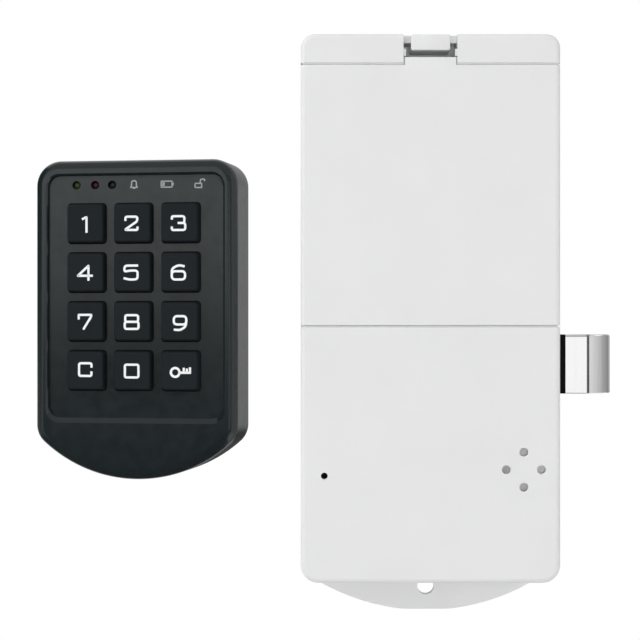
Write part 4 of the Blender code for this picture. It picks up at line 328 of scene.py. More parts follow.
def metal(name, colour, roughness, stretch=(1.0, 1.0, 1.0), strength=0.02):
    """Metal with fine lines along the directions whose stretch is small."""
    made, tree, shader = new_material(name)
    lines = noise(tree, LINE_SCALE, 3.0, stretch)
    inputs = {
        "Metallic": 1.0,
        "Base Color": shades(tree, lines, colour, 0.94, 1.0),
        "Roughness": remap(tree, lines, roughness * 0.9, roughness * 1.1),
        "Normal": bump(tree, lines, strength, LINE_HEIGHT),
    }
    wire(tree, shader, inputs)
    return made


def make_cell_jacket():
    """Printed sleeve, plain: a dark body and a lighter band at the nub's end."""
    made, tree, shader = new_material("cell_jacket")
    along = remap(tree, along_axis(tree, "Z"), 0.0, 1.0, -CELL_LENGTH / 2, CELL_LENGTH / 2)
    stops = ((0.0, (0.022, 0.03, 0.045)), (0.72, (0.42, 0.27, 0.1)))
    inputs = {
        "Metallic": 0.35,
        "Base Color": ramp(tree, along, stops, "CONSTANT"),
        "Roughness": remap(tree, noise(tree, 160.0), 0.27, 0.31),
        "Normal": bump(tree, noise(tree, 500.0), 0.015, LINE_HEIGHT),
    }
    wire(tree, shader, inputs)
    return made


def make_lens(name, colour):
    """Tinted lamp lens, unlit."""
    made, tree, shader = new_material(name)
    clouds = noise(tree, LINE_SCALE)
    inputs = {
        "Base Color": shades(tree, clouds, colour, 0.7, 1.2),
        "Roughness": remap(tree, clouds, 0.22, 0.34),
    }
    wire(tree, shader, inputs)
    return made


PALE = (0.705, 0.709, 0.707)
DARK = (0.01, 0.0146, 0.0162)
KEY_DARK = (0.0118, 0.0152, 0.018)
LOOKS = {
    "pale_plastic": moulded("pale_moulding", PALE, 0.46, spread=0.012, gloss_level=0.25),
    "dark_plastic": moulded("dark_moulding", DARK, 0.2, strength=0.03, gloss_level=0.62),
    "key_plastic": moulded("key_moulding", KEY_DARK, 0.55, strength=0.1, gloss_level=0.1),
    "black_plastic": moulded("black_moulding", (0.0035, 0.0035, 0.0038), 0.5, gloss_level=0.08),
    "nylon": moulded("nylon_moulding", (0.7, 0.68, 0.6), 0.5),
    "silicone": moulded("silicone_sheet", (0.3, 0.31, 0.31), 0.7, grain=1500.0),
    "board_green": moulded("solder_mask", (0.012, 0.11, 0.045), 0.32, grain=900.0, coat=0.3),
    "steel": metal("plain_steel", (0.66, 0.66, 0.67), 0.34, (1.0, 1.0, 0.2)),
    "brass": metal("turned_brass", (0.78, 0.58, 0.26), 0.25, (0.2, 1.0, 0.2)),
    "chrome": metal("bright_plating", (0.97, 0.97, 0.975), 0.12, (1.0, 1.0, 0.08), 0.03),
    # Darker, rougher metal for the bolt's groove; its darkness is partly painted shade in the groove.
    "dull_shaded_groove": metal("dull_groove_painted_shade", (0.42, 0.42, 0.43), 0.5, (1.0, 1.0, 0.08)),
    "gauze": moulded("grey_gauze", (0.68, 0.68, 0.675), 0.8, grain=1800.0, strength=0.4, spread=0.2),
    "legend_print": moulded("legend_print", (0.8, 0.81, 0.82), 0.5, grain=3200.0, spread=0.02),
    "status_print": moulded("status_print", (0.3, 0.31, 0.31), 0.5, grain=3200.0, spread=0.05),
    "cell_jacket": make_cell_jacket(),
    "lamp_green": make_lens("lens_green", (0.045, 0.062, 0.016)),
    "lamp_red": make_lens("lens_red", (0.05, 0.009, 0.017)),
    "lamp_open": make_lens("lens_open", (0.012, 0.02, 0.018)),
}


def dress_frame():
    """Every CAD node gets the look of its slot."""
    for entry in frame["record"]["subparts"]:
        node = frame["nodes"][entry["node"]]
        look = LOOKS[entry["material_slot"]]
        if not node.material_slots:
            node.data.materials.append(look)
        for holder in node.material_slots:
            holder.material = look


def finish_mesh(name, mesh):
    bmesh.ops.recalc_face_normals(mesh, faces=mesh.faces)
    data = bpy.data.meshes.new(name)
    mesh.to_mesh(data)
    mesh.free()
    obj = bpy.data.objects.new(name, data)
    bpy.context.scene.collection.objects.link(obj)
    return obj


def skin(name, rings, closed=False):
    """Solid through rings with equal numbers of points; closed joins the last ring to the first."""
    mesh = bmesh.new()
    loops = [[mesh.verts.new(point) for point in points] for points in rings]
    pairs = list(zip(loops, loops[1:]))
    if closed:
        pairs.append((loops[-1], loops[0]))
    else:
        mesh.faces.new(loops[0])
        mesh.faces.new(reversed(loops[-1]))
    for first, second in pairs:
        for index in range(len(first)):
            after = (index + 1) % len(first)
            mesh.faces.new((first[index], first[after], second[after], second[index]))
    return finish_mesh(name, mesh)


def loft(name, sections):
    """Closed solid through (y, outline) sections with equal numbers of points."""
    return skin(name, [[(x, y, z) for x, z in outline] for y, outline in sections])


def prism(name, outline, front, back):
    return loft(name, [(front, outline), (back, outline)])


def box(name, *spans):
    """Box from its spans in X, Y and Z, each in either order."""
    (left, right), (front, back), (low, high) = (sorted(ends) for ends in spans)
    return prism(name, [(left, low), (right, low), (right, high), (left, high)], front, back)


def arc_points(centre, radius, start, end, steps):
    angles = [start + (end - start) * step / steps for step in range(steps + 1)]
    return [(centre[0] + radius * math.cos(a), centre[1] + radius * math.sin(a)) for a in angles]


def rounded_outline(low, high, lower_radius, upper_radius, steps=CORNER_STEPS):
    """Rectangle between two corners with rounded lower and upper corners."""
    corners = (
        (low[0] + lower_radius, low[1] + lower_radius, lower_radius, 2),
        (high[0] - lower_radius, low[1] + lower_radius, lower_radius, 3),
        (high[0] - upper_radius, high[1] - upper_radius, upper_radius, 0),
        (low[0] + upper_radius, high[1] - upper_radius, upper_radius, 1),
    )
    points = []
    for x, z, radius, turns in corners:
        points += arc_points((x, z), radius, turns * QUARTER, (turns + 1) * QUARTER, steps)
    return points


def centred_outline(centre, size, radius, steps=CORNER_STEPS):
    low = (centre[0] - size[0] / 2, centre[1] - size[1] / 2)
    high = (centre[0] + size[0] / 2, centre[1] + size[1] / 2)
    return rounded_outline(low, high, radius, radius, steps)


def circle(centre, radius, segments=HOLE_SEGMENTS):
    return arc_points(centre, radius, 0, 4 * QUARTER * (segments - 1) / segments, segments - 1)


def rounding(radius, steps=EDGE_STEPS):
    """(depth, inset) pairs of a rounded edge, from the side to the face."""
    for step in range(steps + 1):
        angle = QUARTER * step / steps
        yield radius * (1 - math.sin(angle)), radius * (1 - math.cos(angle))


def rounded_blank(name, outline, back, front, radius, steps=EDGE_STEPS):
    """Solid with a rounded front edge; outline gives its shape at an inset."""
    sections = [(back, outline(0))]
    sections += [(front + depth, outline(inset)) for depth, inset in rounding(radius, steps)]
    return loft(name, sections)


def ring(middle, radius, across, side, segments):
    """Points round a middle, in the plane of two directions."""
    turns = [2 * math.pi * index / segments for index in range(segments)]
    return [middle + radius * (math.cos(a) * across + math.sin(a) * side) for a in turns]


def turned(name, profile, place, segments=ROUND_SEGMENTS, axis="Y"):
    """Solid of revolution from (radius, distance) points, at (x, z) or (x, y, z)."""
    mesh = bmesh.new()
    first = "XYZ".index(axis)
    along, across, side = (Matrix.Identity(3)[(first + step) % 3] for step in range(3))
    centre = Vector(place if len(place) == 3 else (place[0], 0, place[1]))
    rings = []
    for radius, distance in profile:
        middle = centre + along * distance
        points = ring(middle, radius, across, side, segments) if radius else [middle]
        rings.append([mesh.verts.new(point) for point in points])
    for lower, upper in zip(rings, rings[1:]):
        for index in range(segments):
            after = (index + 1) % segments
            if len(lower) == 1:
                mesh.faces.new((lower[0], upper[index], upper[after]))
            elif len(upper) == 1:
                mesh.faces.new((lower[index], upper[0], lower[after]))
            else:
                mesh.faces.new((lower[index], upper[index], upper[after], lower[after]))
    return finish_mesh(name, mesh)


def rod(name, radius, start, end, place, segments=ROUND_SEGMENTS):
    return turned(name, [(0, start), (radius, start), (radius, end), (0, end)], place, segments)


def tube_along(name, path, radius):
    """Round wire along a list of points, with flat ends."""
    rings = []
    normal = None
    for index, point in enumerate(path):
        before = path[max(index - 1, 0)]
        after = path[min(index + 1, len(path) - 1)]
        direction = (after - before).normalized()
        if normal is None:
            normal = direction.orthogonal().normalized()
        normal = (normal - direction * normal.dot(direction)).normalized()
        rings.append(ring(point, radius, normal, direction.cross(normal), WIRE_SIDES))
    return skin(name, rings)


def settle(obj):
    """Replace an object's mesh by its evaluated one and drop its modifiers."""
    bpy.context.view_layer.update()
    graph = bpy.context.evaluated_depsgraph_get()
    data = bpy.data.meshes.new_from_object(obj.evaluated_get(graph))
    old = obj.data
    obj.modifiers.clear()
    obj.data = data
    bpy.data.meshes.remove(old)


def combine(target, operation, tools):
    for tool in tools:
        modifier = target.modifiers.new(operation.title(), "BOOLEAN")
        modifier.operation = operation
        modifier.solver = "EXACT"
        modifier.object = tool
        settle(target)
        bpy.data.objects.remove(tool)


def cut(target, *tools):
    combine(target, "DIFFERENCE", tools)


def join(target, *tools):
    combine(target, "UNION", tools)


def pierce(target, outline, front, back):
    """Cut an outline through a wall, beyond its front and its back."""
    cut(target, prism("hole", outline, front - OVERRUN, back + OVERRUN))


def soften(obj, test=None, width=SOFT_WIDTH, segments=SOFT_SEGMENTS):
    """Round the sharp edges, or those of them whose two ends pass the test."""
    mesh = bmesh.new()
    mesh.from_mesh(obj.data)
    chosen = []
    for edge in mesh.edges:
        if len(edge.link_faces) == 2 and edge.calc_face_angle() > SMOOTH_ANGLE:
            if test is None or all(test(vertex.co) for vertex in edge.verts):
                chosen.append(edge)
    bmesh.ops.bevel(
        mesh, geom=chosen, offset=width, segments=segments, profile=0.5, affect="EDGES"
    )
    mesh.to_mesh(obj.data)
    mesh.free()


def keep_inside(obj):
    """Hold a mesh that stands in place inside the box of the loaded parts."""
    low, high = LOADED_BOX
    for vertex in obj.data.vertices:
        for axis in range(3):
            vertex.co[axis] = min(max(vertex.co[axis], low[axis]), high[axis])


def near(value, target):
    return abs(value - target) < WELD / 10


def on_front_rim(half, *heights):
    """Test for points of the lock's front at a half width or at one of some heights."""
    def test(point):
        at_seam = near(abs(point.x), half) or any(near(point.z, height) for height in heights)
        return near(point.y, LOCK_FRONT) and at_seam

    return test


def dress(obj, look, body, *nodes):
    """Give a piece its look, its smooth shading and its body, and hide the nodes that it stands for.
    """
    obj.data.materials.clear()
    obj.data.materials.append(LOOKS[look])
    obj.data.shade_smooth()
    obj.data.set_sharp_from_angle(angle=SHARP_ANGLE)
    for face in obj.data.polygons:
        if face.area > FLAT_AREA:
            face.use_smooth = False
    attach(obj, body)
    if nodes:
        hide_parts(*nodes)
    return obj


def second_look(obj, look, test):
    """Give the faces whose centres pass the test another look."""
    obj.data.materials.append(LOOKS[look])
    for face in obj.data.polygons:
        if test(face.center):
            face.material_index = 1


def countersink(place, length):
    """Cutter for a countersunk screw, with the running gap all round."""
    profile = [
        (0, OVERRUN),
        (HEAD_RADIUS + GAP, OVERRUN),
        (HEAD_RADIUS + GAP, -SCREW_SINK),
        (SHANK_RADIUS + GAP, -SCREW_SINK - HEAD_HEIGHT),
        (SHANK_RADIUS + GAP, -SCREW_SINK - length - GAP),
        (0, -SCREW_SINK - length - GAP),
    ]
    return turned("countersink", profile, place, HOLE_SEGMENTS)


def make_screws(unit, places, length):
    """Countersunk screws with a cross recess."""
    profile = [
        (0, -SCREW_SINK),
        (HEAD_RADIUS - GAP / 3, -SCREW_SINK),
        (HEAD_RADIUS, -SCREW_SINK - GAP / 3),
        (SHANK_RADIUS, -SCREW_SINK - HEAD_HEIGHT),
        (SHANK_RADIUS, -SCREW_SINK - length + SHANK_RADIUS),
        (0, -SCREW_SINK - length),
    ]
    reach = HEAD_RADIUS * RECESS_REACH
    depth = (-SCREW_SINK - RECESS_DEPTH, OVERRUN)
    for number, (x, z) in enumerate(places, 1):
        screw = turned(f"{unit}_fixing_{number}", profile, (x, z), SCREW_SEGMENTS)
        for wide, tall in ((reach, RECESS_HALF), (RECESS_HALF, reach)):
            cut(screw, box("recess", span(wide, x), depth, span(tall, z)))
        if unit == "keypad":
            place_on_keypad(screw)
        dress(screw, "steel", "units", f"{unit}_screw_{number}")


def lock_outline(inset):
    low = (-LOCK_HALF + inset, LOCK_BOTTOM + inset)
    high = (LOCK_HALF - inset, LOCK_TOP - inset)
    return rounded_outline(low, high, LOCK_BOTTOM_RADIUS - inset, LOCK_TOP_RADIUS - inset)


def seat_cutters():
    """Room in the housing for the cover, its skirts, hooks and clip."""
    wide = LOCK_HALF + OVERRUN
    front = LOCK_FRONT - OVERRUN
    back = LEDGE_BACK + OVERRUN
    seams = (LOW_SEAM, HIGH_SEAM)
    top = LOW_SEAM + HOOK_WINDOW
    notch = span(NOTCH_HALF)
    yield box("seat", span(wide), (front, LEDGE_FRONT), seams)
    for side in SIDES:
        skirt = (side * (SKIRT_INNER - GAP), side * wide)
        yield box("skirt_seat", skirt, (front, SKIRT_BACK + GAP), seams)
        hook = (side * HOOK_X - HOOK_HALF - GAP, side * HOOK_X + HOOK_HALF + GAP)
        yield box("hook_window", hook, (front, back), (LOW_SEAM, top))
        yield box("hook_room", hook, (CAVITY_FRONT, back), (LOW_SEAM - SIDE_WALL - OVERRUN, top))
    yield box("notch", notch, (front, NOTCH_BACK), (HIGH_SEAM - OVERRUN, LOCK_TOP + OVERRUN))
    yield box("pocket", notch, (front, POCKET_BACK), (HIGH_SEAM, POCKET_ROOF))


def hollow_cutters():
    """Cell tray in front; room for the mechanism below and behind it; hollows in the rim."""
    inner = span(CAVITY_HALF)
    ledge = LOW_SEAM + SEAM / 2 - SIDE_WALL
    wall = TRAY_LOW - TRAY_END_WALL
    split = HIGH_SEAM + SIDE_WALL
    back = TRAY_BACK + OVERRUN
    low = (-CAVITY_HALF, CAVITY_BOTTOM)
    lower = rounded_outline(low, (CAVITY_HALF, ledge), CAVITY_RADIUS, CAVITY_RADIUS)
    yield box("tray", span(TRAY_HALF), (LOCK_FRONT - OVERRUN, TRAY_FRONT), (TRAY_LOW, TRAY_HIGH))
    yield prism("lower_cavity", lower, CAVITY_FRONT, OVERRUN)
    yield box("ledge_cavity", inner, (LEDGE_BACK, OVERRUN), (ledge - CAVITY_RADIUS, wall))
    yield box("tray_back", inner, (TRAY_BACK, OVERRUN), (wall - OVERRUN, CAVITY_TOP))
    for side in SIDES:
        rim = (side * RIM_HOLLOW_INNER, side * CAVITY_HALF)
        yield box("ledge_hollow", rim, (LEDGE_BACK, back), (TRAY_HIGH + TRAY_END_WALL, split))
        yield box("rim_hollow", rim, (CAVITY_FRONT, back), (split - WELD, CAVITY_TOP))


def seam_lips():
    """Lips of the housing that keep the seams round the cover shallow."""
    wide = LOCK_HALF - LIP_SINK
    front = LOCK_FRONT + LIP_SINK
    depth = (front, LEDGE_FRONT + WELD)
    deep = (front, NOTCH_BACK + WELD)
    low = COVER_TOP + LIP_CLEARANCE
    yield box("low_lip", span(wide), depth, (LOW_SEAM - WELD, COVER_BOTTOM - LIP_CLEARANCE))
    for side in SIDES:
        outer = side * (NOTCH_HALF + WELD)
        ridge = (side * (NOTCH_HALF - LIP_CLEARANCE), side * wide)
        yield box("high_lip", ridge, depth, (low, HIGH_SEAM + WELD))
        slim = (side * (NOTCH_HALF - GAP + LIP_CLEARANCE), outer)
        yield box("notch_lip", slim, deep, (low, TONGUE_TOP))
        slot = (side * (NOTCH_HALF - NOTCH_LIP), outer)
        yield box("slot_lip", slot, deep, (TONGUE_TOP + GAP, TAB_BOTTOM + GAP))


def make_housing():
    housing = rounded_blank("housing_shell", lock_outline, HOUSING_BACK, LOCK_FRONT, LOCK_EDGE_ROUND)
    cut(housing, *seat_cutters(), *hollow_cutters())
    width, height = TRAY_RIB
    depth = (TRAY_FRONT - height, TRAY_FRONT + WELD)
    ends = (TRAY_LOW + 2 * CONTACT_HALF, TRAY_HIGH - 2 * CONTACT_HALF)
    for rib in (-1, 0, 1):
        join(housing, box("tray_rib", span(width / 2, rib * CELL_PITCH), depth, ends))
    for place in UPPER_HOLES:
        pierce(housing, circle(place, DRIVER_HOLE_RADIUS), TRAY_FRONT, TRAY_BACK)
    join(housing, *seam_lips())
    floor = CAVITY_FRONT - WELD
    for place in HOUSING_SCREWS:
        join(housing, rod("boss", BOSS_RADIUS, floor, HOUSING_BACK, place))
        cut(housing, countersink(place, LONG_SCREW))
    for place in BOARD_SCREWS:
        join(housing, rod("boss", BOARD_BOSS_RADIUS, floor, BOARD_BOSS_END, place))
        ends = (BOARD_BOSS_END - SHORT_SCREW, BOARD_BOSS_END + OVERRUN)
        cut(housing, rod("pilot", SHANK_RADIUS + GAP, *ends, place))
    wall = (CAVITY_HALF - OVERRUN, LOCK_HALF + OVERRUN)
    depth = (BOLT_FRONT - GAP, BOLT_BACK + GAP)
    cut(housing, box("bolt_window", wall, depth, (BOLT_BOTTOM - GAP, BOLT_TOP + GAP)))
    pierce(housing, circle(PIN_HOLE, PIN_HOLE_RADIUS), LOCK_FRONT, CAVITY_FRONT)
    for centre in arc_points(BUZZER, BUZZER_HOLE_OFFSET, 0, 3 * QUARTER, 3):
        pierce(housing, circle(centre, BUZZER_HOLE_RADIUS), LOCK_FRONT, CAVITY_FRONT)
    soften(housing, on_front_rim(NOTCH_HALF, LOW_SEAM, HIGH_SEAM))
    dress(housing, "pale_plastic", "units", "lock_housing")


def make_gauze():
    """Woven disc behind the buzzer's holes."""
    gauze = rod("buzzer_gauze", GAUZE_RADIUS, GAUZE_FRONT, GAUZE_BACK, BUZZER)
    dress(gauze, "gauze", "units")


def make_cover():
    cover = rounded_blank("cover_shell", lock_outline, SKIRT_BACK, LOCK_FRONT, LOCK_EDGE_ROUND)
    wide = span(LOCK_HALF + OVERRUN)
    back = SKIRT_BACK + OVERRUN
    depth = (LOCK_FRONT - OVERRUN, back)
    cut(
        cover,
        box("below", wide, depth, (LOCK_BOTTOM - OVERRUN, COVER_BOTTOM)),
        box("above", wide, depth, (COVER_TOP, LOCK_TOP + OVERRUN)),
        box("inside", span(SKIRT_INNER), (COVER_BACK, back), (LOCK_BOTTOM, LOCK_TOP)),
    )
    half = NOTCH_HALF - GAP
    arm = span(CLIP_ARM_HALF)
    bend = (CLIP_ARM_HIGH - WELD, TAB_BOTTOM - GAP)
    join(
        cover,
        box("tongue", span(half), (LOCK_FRONT, COVER_BACK), (COVER_TOP - SIDE_WALL, TONGUE_TOP)),
        box("clip_arm", arm, (COVER_BACK - WELD, CLIP_ROOT), (CLIP_ARM_LOW, CLIP_ARM_HIGH)),
        box("clip_bend", arm, (CLIP_ROOT - OVERRUN, CLIP_ROOT), bend),
    )
    front = CAVITY_FRONT + GAP
    back = front + HOOK_ARM
    drop = (COVER_BOTTOM - HOOK_DROP, COVER_BOTTOM + WELD)
    for side in SIDES:
        hook = span(HOOK_HALF, side * HOOK_X)
        rise = (COVER_BOTTOM, COVER_BOTTOM + HOOK_ARM)
        join(cover, box("hook_arm", hook, (COVER_BACK - WELD, back), rise))
        join(cover, box("hook_finger", hook, (front, back), drop))
    soften(cover, on_front_rim(half, COVER_BOTTOM, COVER_TOP, TONGUE_TOP))
    dress(cover, "pale_plastic", "battery_cover", "battery_cover")


def make_clip():
    wide = span(CLIP_HALF)
    clip = box("clip_tab", wide, (TAB_FRONT, TAB_BACK), (TAB_BOTTOM, TAB_TOP))
    join(
        clip,
        box("leg", wide, (TAB_BACK - WELD, CLIP_ROOT), (TAB_BOTTOM, LEG_TOP)),
        box("nose", wide, (NOSE_FRONT, NOSE_BACK), (LEG_TOP - WELD, NOSE_TOP)),
    )
    soften(clip, None, CLIP_ROUND)
    dress(clip, "pale_plastic", "cover_clip", "cover_clip")


def make_base():
    """Base plate with its curved flange, window, holes and ribs."""
    plate = prism("base_shell", lock_outline(0), PLATE_FRONT, 0)
    half_flat = math.sqrt(FLANGE_RADIUS**2 - (FLANGE_RADIUS - FLANGE_FLAT_DROP) ** 2)
    start, end = (-math.acos(x / FLANGE_RADIUS) for x in (half_flat, FLANGE_HALF))
    right = arc_points((0, FLANGE_CENTRE_Z), FLANGE_RADIUS, start, end, FLANGE_STEPS)
    right.append((FLANGE_HALF, LOCK_BOTTOM + WELD))
    left = [(-x, z) for x, z in reversed(right)]
    join(plate, prism("flange", right + left, PLATE_FRONT, 0))
    width, height = PLATE_RIB
    depth = (PLATE_FRONT - height, PLATE_FRONT + WELD)
    rib_x = CAVITY_HALF - GAP - width / 2
    rib_z = CAVITY_BOTTOM + GAP
    for side in SIDES:
        join(plate, box("side_rib", span(width / 2, side * rib_x), depth, (0, SIDE_RIB_TOP)))
    join(plate, box("lower_rib", span(LOWER_RIB_HALF), depth, (rib_z, rib_z + width)))
    pierce(plate, centred_outline(LOCK_WINDOW, LOCK_WINDOW_SIZE, WINDOW_RADIUS), PLATE_FRONT, 0)
    for place in ((0, FLANGE_HOLE_Z), *UPPER_HOLES):
        pierce(plate, circle(place, DOOR_HOLE_RADIUS, ROUND_SEGMENTS), PLATE_FRONT, 0)
    cut(plate, *(countersink(place, LONG_SCREW) for place in HOUSING_SCREWS))
    cut(plate, *(countersink(place, SHORT_SCREW) for place in FRAME_SCREWS))

    def on_outer_edge(point):
        outside = abs(point.x) > FLANGE_HALF - OVERRUN or point.z < LOCK_BOTTOM
        near_hole = math.hypot(point.x, point.z - FLANGE_HOLE_Z) < DOOR_HOLE_RADIUS + OVERRUN
        return outside and not near_hole and point.y > PLATE_FRONT - WELD

    soften(plate, on_outer_edge, PLATE_ROUND)
    keep_inside(plate)
    dress(plate, "pale_plastic", "units", "base_plate")


def nose_outline(inset):
    """Seen from above: a flat, a narrow groove and a slope that curves away to the tip."""
    first = math.sin(BOLT_SLOPE_START)
    bend = (BOLT_TIP_X - BOLT_SLOPE_X) / (math.sin(BOLT_SLOPE_END) - first)
    front = BOLT_FRONT + inset
    outline = [
        (NOSE_START_X, BOLT_BACK),
        (NOSE_START_X, front),
        (BOLT_FLAT_X - inset, front),
        (BOLT_FLAT_X - inset, front + BOLT_GROOVE),
        (BOLT_SLOPE_X + inset, front + BOLT_GROOVE),
    ]
    start_y = BOLT_FRONT + BOLT_SLOPE_DROP + bend * math.cos(BOLT_SLOPE_START)
    for step in range(BOLT_SLOPE_STEPS + 1):
        angle = BOLT_SLOPE_START + (BOLT_SLOPE_END - BOLT_SLOPE_START) * step / BOLT_SLOPE_STEPS
        x = BOLT_SLOPE_X + bend * (math.sin(angle) - first) - inset * math.sin(angle)
        y = start_y - bend * math.cos(angle) + inset * math.cos(angle)
        outline.append((max(x, BOLT_SLOPE_X + inset), y))
    outline.append((BOLT_TIP_X - inset * math.sin(BOLT_SLOPE_END), BOLT_BACK))
    return outline


def make_nose():
    """Bright nose, rounded along its upper and lower edges; its groove is darker, partly as painted
    shade.
    """
    levels = [(BOLT_BOTTOM + drop, inset) for drop, inset in rounding(NOSE_LOW_ROUND, 3)][::-1]
    levels += [(BOLT_TOP - drop, inset) for drop, inset in rounding(NOSE_TOP_ROUND, 5)]
    nose = skin("bright_nose", [[(x, y, z) for x, y in nose_outline(inset)] for z, inset in levels])
    reach, deep, tall = MORTISE
    ends = (NOSE_START_X - OVERRUN, NOSE_START_X + reach)
    cut(nose, box("mortise", ends, span(deep, BOLT_MIDDLE_Y), span(tall, BOLT_MIDDLE_Z)))
    dress(nose, "chrome", "bolt", "bolt_nose")

    def in_groove(point):
        across = BOLT_FLAT_X - WELD / 4 < point.x < BOLT_SLOPE_X + WELD / 4
        return across and BOLT_FRONT + WELD < point.y < BOLT_FRONT + BOLT_GROOVE + SEAM

    # The groove's darker metal partly paints the shade inside the groove.
    second_look(nose, "dull_shaded_groove", in_groove)


def cell_x(index):
    return (index - (CELLS - 1) / 2) * CELL_PITCH


def make_cells():
    """Four cells in series; every second one points down."""
    half = CELL_LENGTH / 2
    rim = CELL_RIM
    nub, nub_height = CELL_NUB
    dished, sunk, flat = (CELL_RADIUS * share for share in CELL_RINGS)
    start = TRAY_LOW + 2 * GAP + CONTACT_THICKNESS + SPRING_LENGTH - CELL_MIDDLE
    body = CELL_LENGTH - nub_height
    shoulder = start + body
    tip = start + CELL_LENGTH
    profile = [
        (0, start + rim),
        (dished, start + rim),
        (flat, start),
        (CELL_RADIUS - rim, start),
        (CELL_RADIUS - rim / 4, start + rim / 4),
        (CELL_RADIUS, start + rim),
        (CELL_RADIUS, shoulder - rim),
        (CELL_RADIUS - rim / 4, shoulder - rim / 4),
        (CELL_RADIUS - rim, shoulder),
        (flat, shoulder),
        (sunk, shoulder - rim),
        (nub + rim, shoulder - rim),
        (nub, shoulder),
        (nub, tip - rim),
        (nub - rim, tip),
        (0, tip),
    ]

    def at_end(point):
        outside = abs(point.z) > body / 2 - rim
        return outside and math.hypot(point.x, point.y) < CELL_RADIUS - rim

    for index in range(CELLS):
        cell = turned(f"cell_{index + 1}", profile, (0, 0, 0), axis="Z")
        cell.data.transform(Matrix.Translation((0, 0, -start - half)))
        rise = start + half
        if index % 2:
            cell.data.transform(Matrix.Rotation(math.pi, 4, "X"))
            rise = -rise
        cell.location = (cell_x(index), CELL_Y, CELL_MIDDLE + rise)
        bpy.context.view_layer.update()
        dress(cell, "cell_jacket", "units", f"battery_cell_{index + 1}")
        second_look(cell, "steel", at_end)


def contact_coil(centre, inward):
    steps = SPRING_TURNS * COIL_STEPS
    reach = SPRING_LENGTH - SPRING_WIRE
    path = []
    for step in range(steps + 1):
        share = step / steps
        angle = 2 * math.pi * SPRING_TURNS * share
        radius = SPRING_WIDE + (SPRING_NARROW - SPRING_WIDE) * share
        turn = Vector((radius * math.cos(angle), radius * math.sin(angle), inward * reach * share))
        path.append(Vector(centre) + turn)
    return tube_along("coil", path, SPRING_WIRE)


def contact_button(centre, inward):
    profile = [
        (0, -inward * WELD),
        (BUTTON_RADIUS + BUTTON_HEIGHT, -inward * WELD),
        (BUTTON_RADIUS + BUTTON_HEIGHT / 2, inward * BUTTON_HEIGHT / 2),
        (BUTTON_RADIUS, inward * BUTTON_HEIGHT),
        (0, inward * BUTTON_HEIGHT),
    ]
    return turned("button", profile, centre, SMALL_SEGMENTS, "Z")


def make_contacts():
    """Plates with coils at the flat ends of the cells and buttons at their nubs."""
    low_face = TRAY_LOW + GAP + CONTACT_THICKNESS
    high_face = TRAY_HIGH - GAP - CONTACT_THICKNESS
    plates = (
        ("contact_bottom_left", (0,), low_face, 1, (0,)),
        ("contact_bottom_middle", (1, 2), low_face, 1, (2,)),
        ("contact_bottom_right", (3,), low_face, 1, ()),
        ("contact_top_left", (0, 1), high_face, -1, (1,)),
        ("contact_top_right", (2, 3), high_face, -1, (3,)),
    )
    for node, cells, face, inward, coils in plates:
        wide = (cell_x(cells[0]) - CONTACT_HALF, cell_x(cells[-1]) + CONTACT_HALF)
        thick = (face, face - inward * CONTACT_THICKNESS)
        plate = box(node + "_plate", wide, span(CONTACT_HALF, CELL_Y), thick)
        soften(plate, None, CONTACT_ROUND, 2)
        for index in cells:
            make = contact_coil if index in coils else contact_button
            join(plate, make((cell_x(index), CELL_Y, face), inward))
        dress(plate, "steel", "units", node)


def make_bolt_coil():
    """Return coil of the bolt with closed end turns, made at one length; the real coil shortens as the
    bolt goes in.
    """
    steps = COIL_TURNS * COIL_STEPS
    closed = 2 * COIL_WIRE
    pitch = (COIL_END - COIL_START - 2 * closed) / (COIL_TURNS - 2)
    path = []
    for step in range(steps + 1):
        turn = COIL_TURNS * step / steps
        x = COIL_START + closed * min(turn, 1) + pitch * min(max(turn - 1, 0), COIL_TURNS - 2)
        x += closed * max(turn - COIL_TURNS + 1, 0)
        angle = 2 * math.pi * turn
        y = BOLT_MIDDLE_Y + COIL_RADIUS * math.cos(angle)
        path.append(Vector((x, y, BOLT_MIDDLE_Z + COIL_RADIUS * math.sin(angle))))
    coil = dress(tube_along("bolt_coil", path, COIL_WIRE), "steel", "units", "bolt_spring")
    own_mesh(coil)


def make_plunger():
    """Reset plunger: a pale stem with a cap at the pin's end, coloured black as painted shade in the
    pin hole.
    """
    edge = PLUNGER_RADIUS - GAP / 2
    cap = PLUNGER_FRONT + PLUNGER_CAP
    profile = [
        (0, PLUNGER_FRONT),
        (edge, PLUNGER_FRONT),
        (PLUNGER_RADIUS, PLUNGER_FRONT + GAP / 2),
        (PLUNGER_RADIUS, cap),
        (edge, cap + GAP / 2),
        (edge, PLUNGER_BACK),
        (0, PLUNGER_BACK),
    ]
    plunger = turned("plunger_stem", profile, PIN_HOLE, SMALL_SEGMENTS)
    dress(plunger, "nylon", "reset_plunger", "reset_plunger")
    # Black on the cap is painted shade: it darkens the pin hole.
    second_look(plunger, "black_plastic", lambda point: point.y < cap + GAP / 4)


KEYPAD_FRAME = Matrix.Translation(KEYPAD_PLACE) @ Matrix.Rotation(KEYPAD_YAW, 4, "Z")


def place_on_keypad(obj, place=(0, 0)):
    """Move a piece made in the keypad's own frame to where the keypad stands."""
    obj.data.transform(KEYPAD_FRAME @ Matrix.Translation((place[0], 0, place[1])))


def fit(obj, look, body, *nodes, place=(0, 0)):
    """Put a piece on the keypad and dress it."""
    place_on_keypad(obj, place)
    return dress(obj, look, body, *nodes)


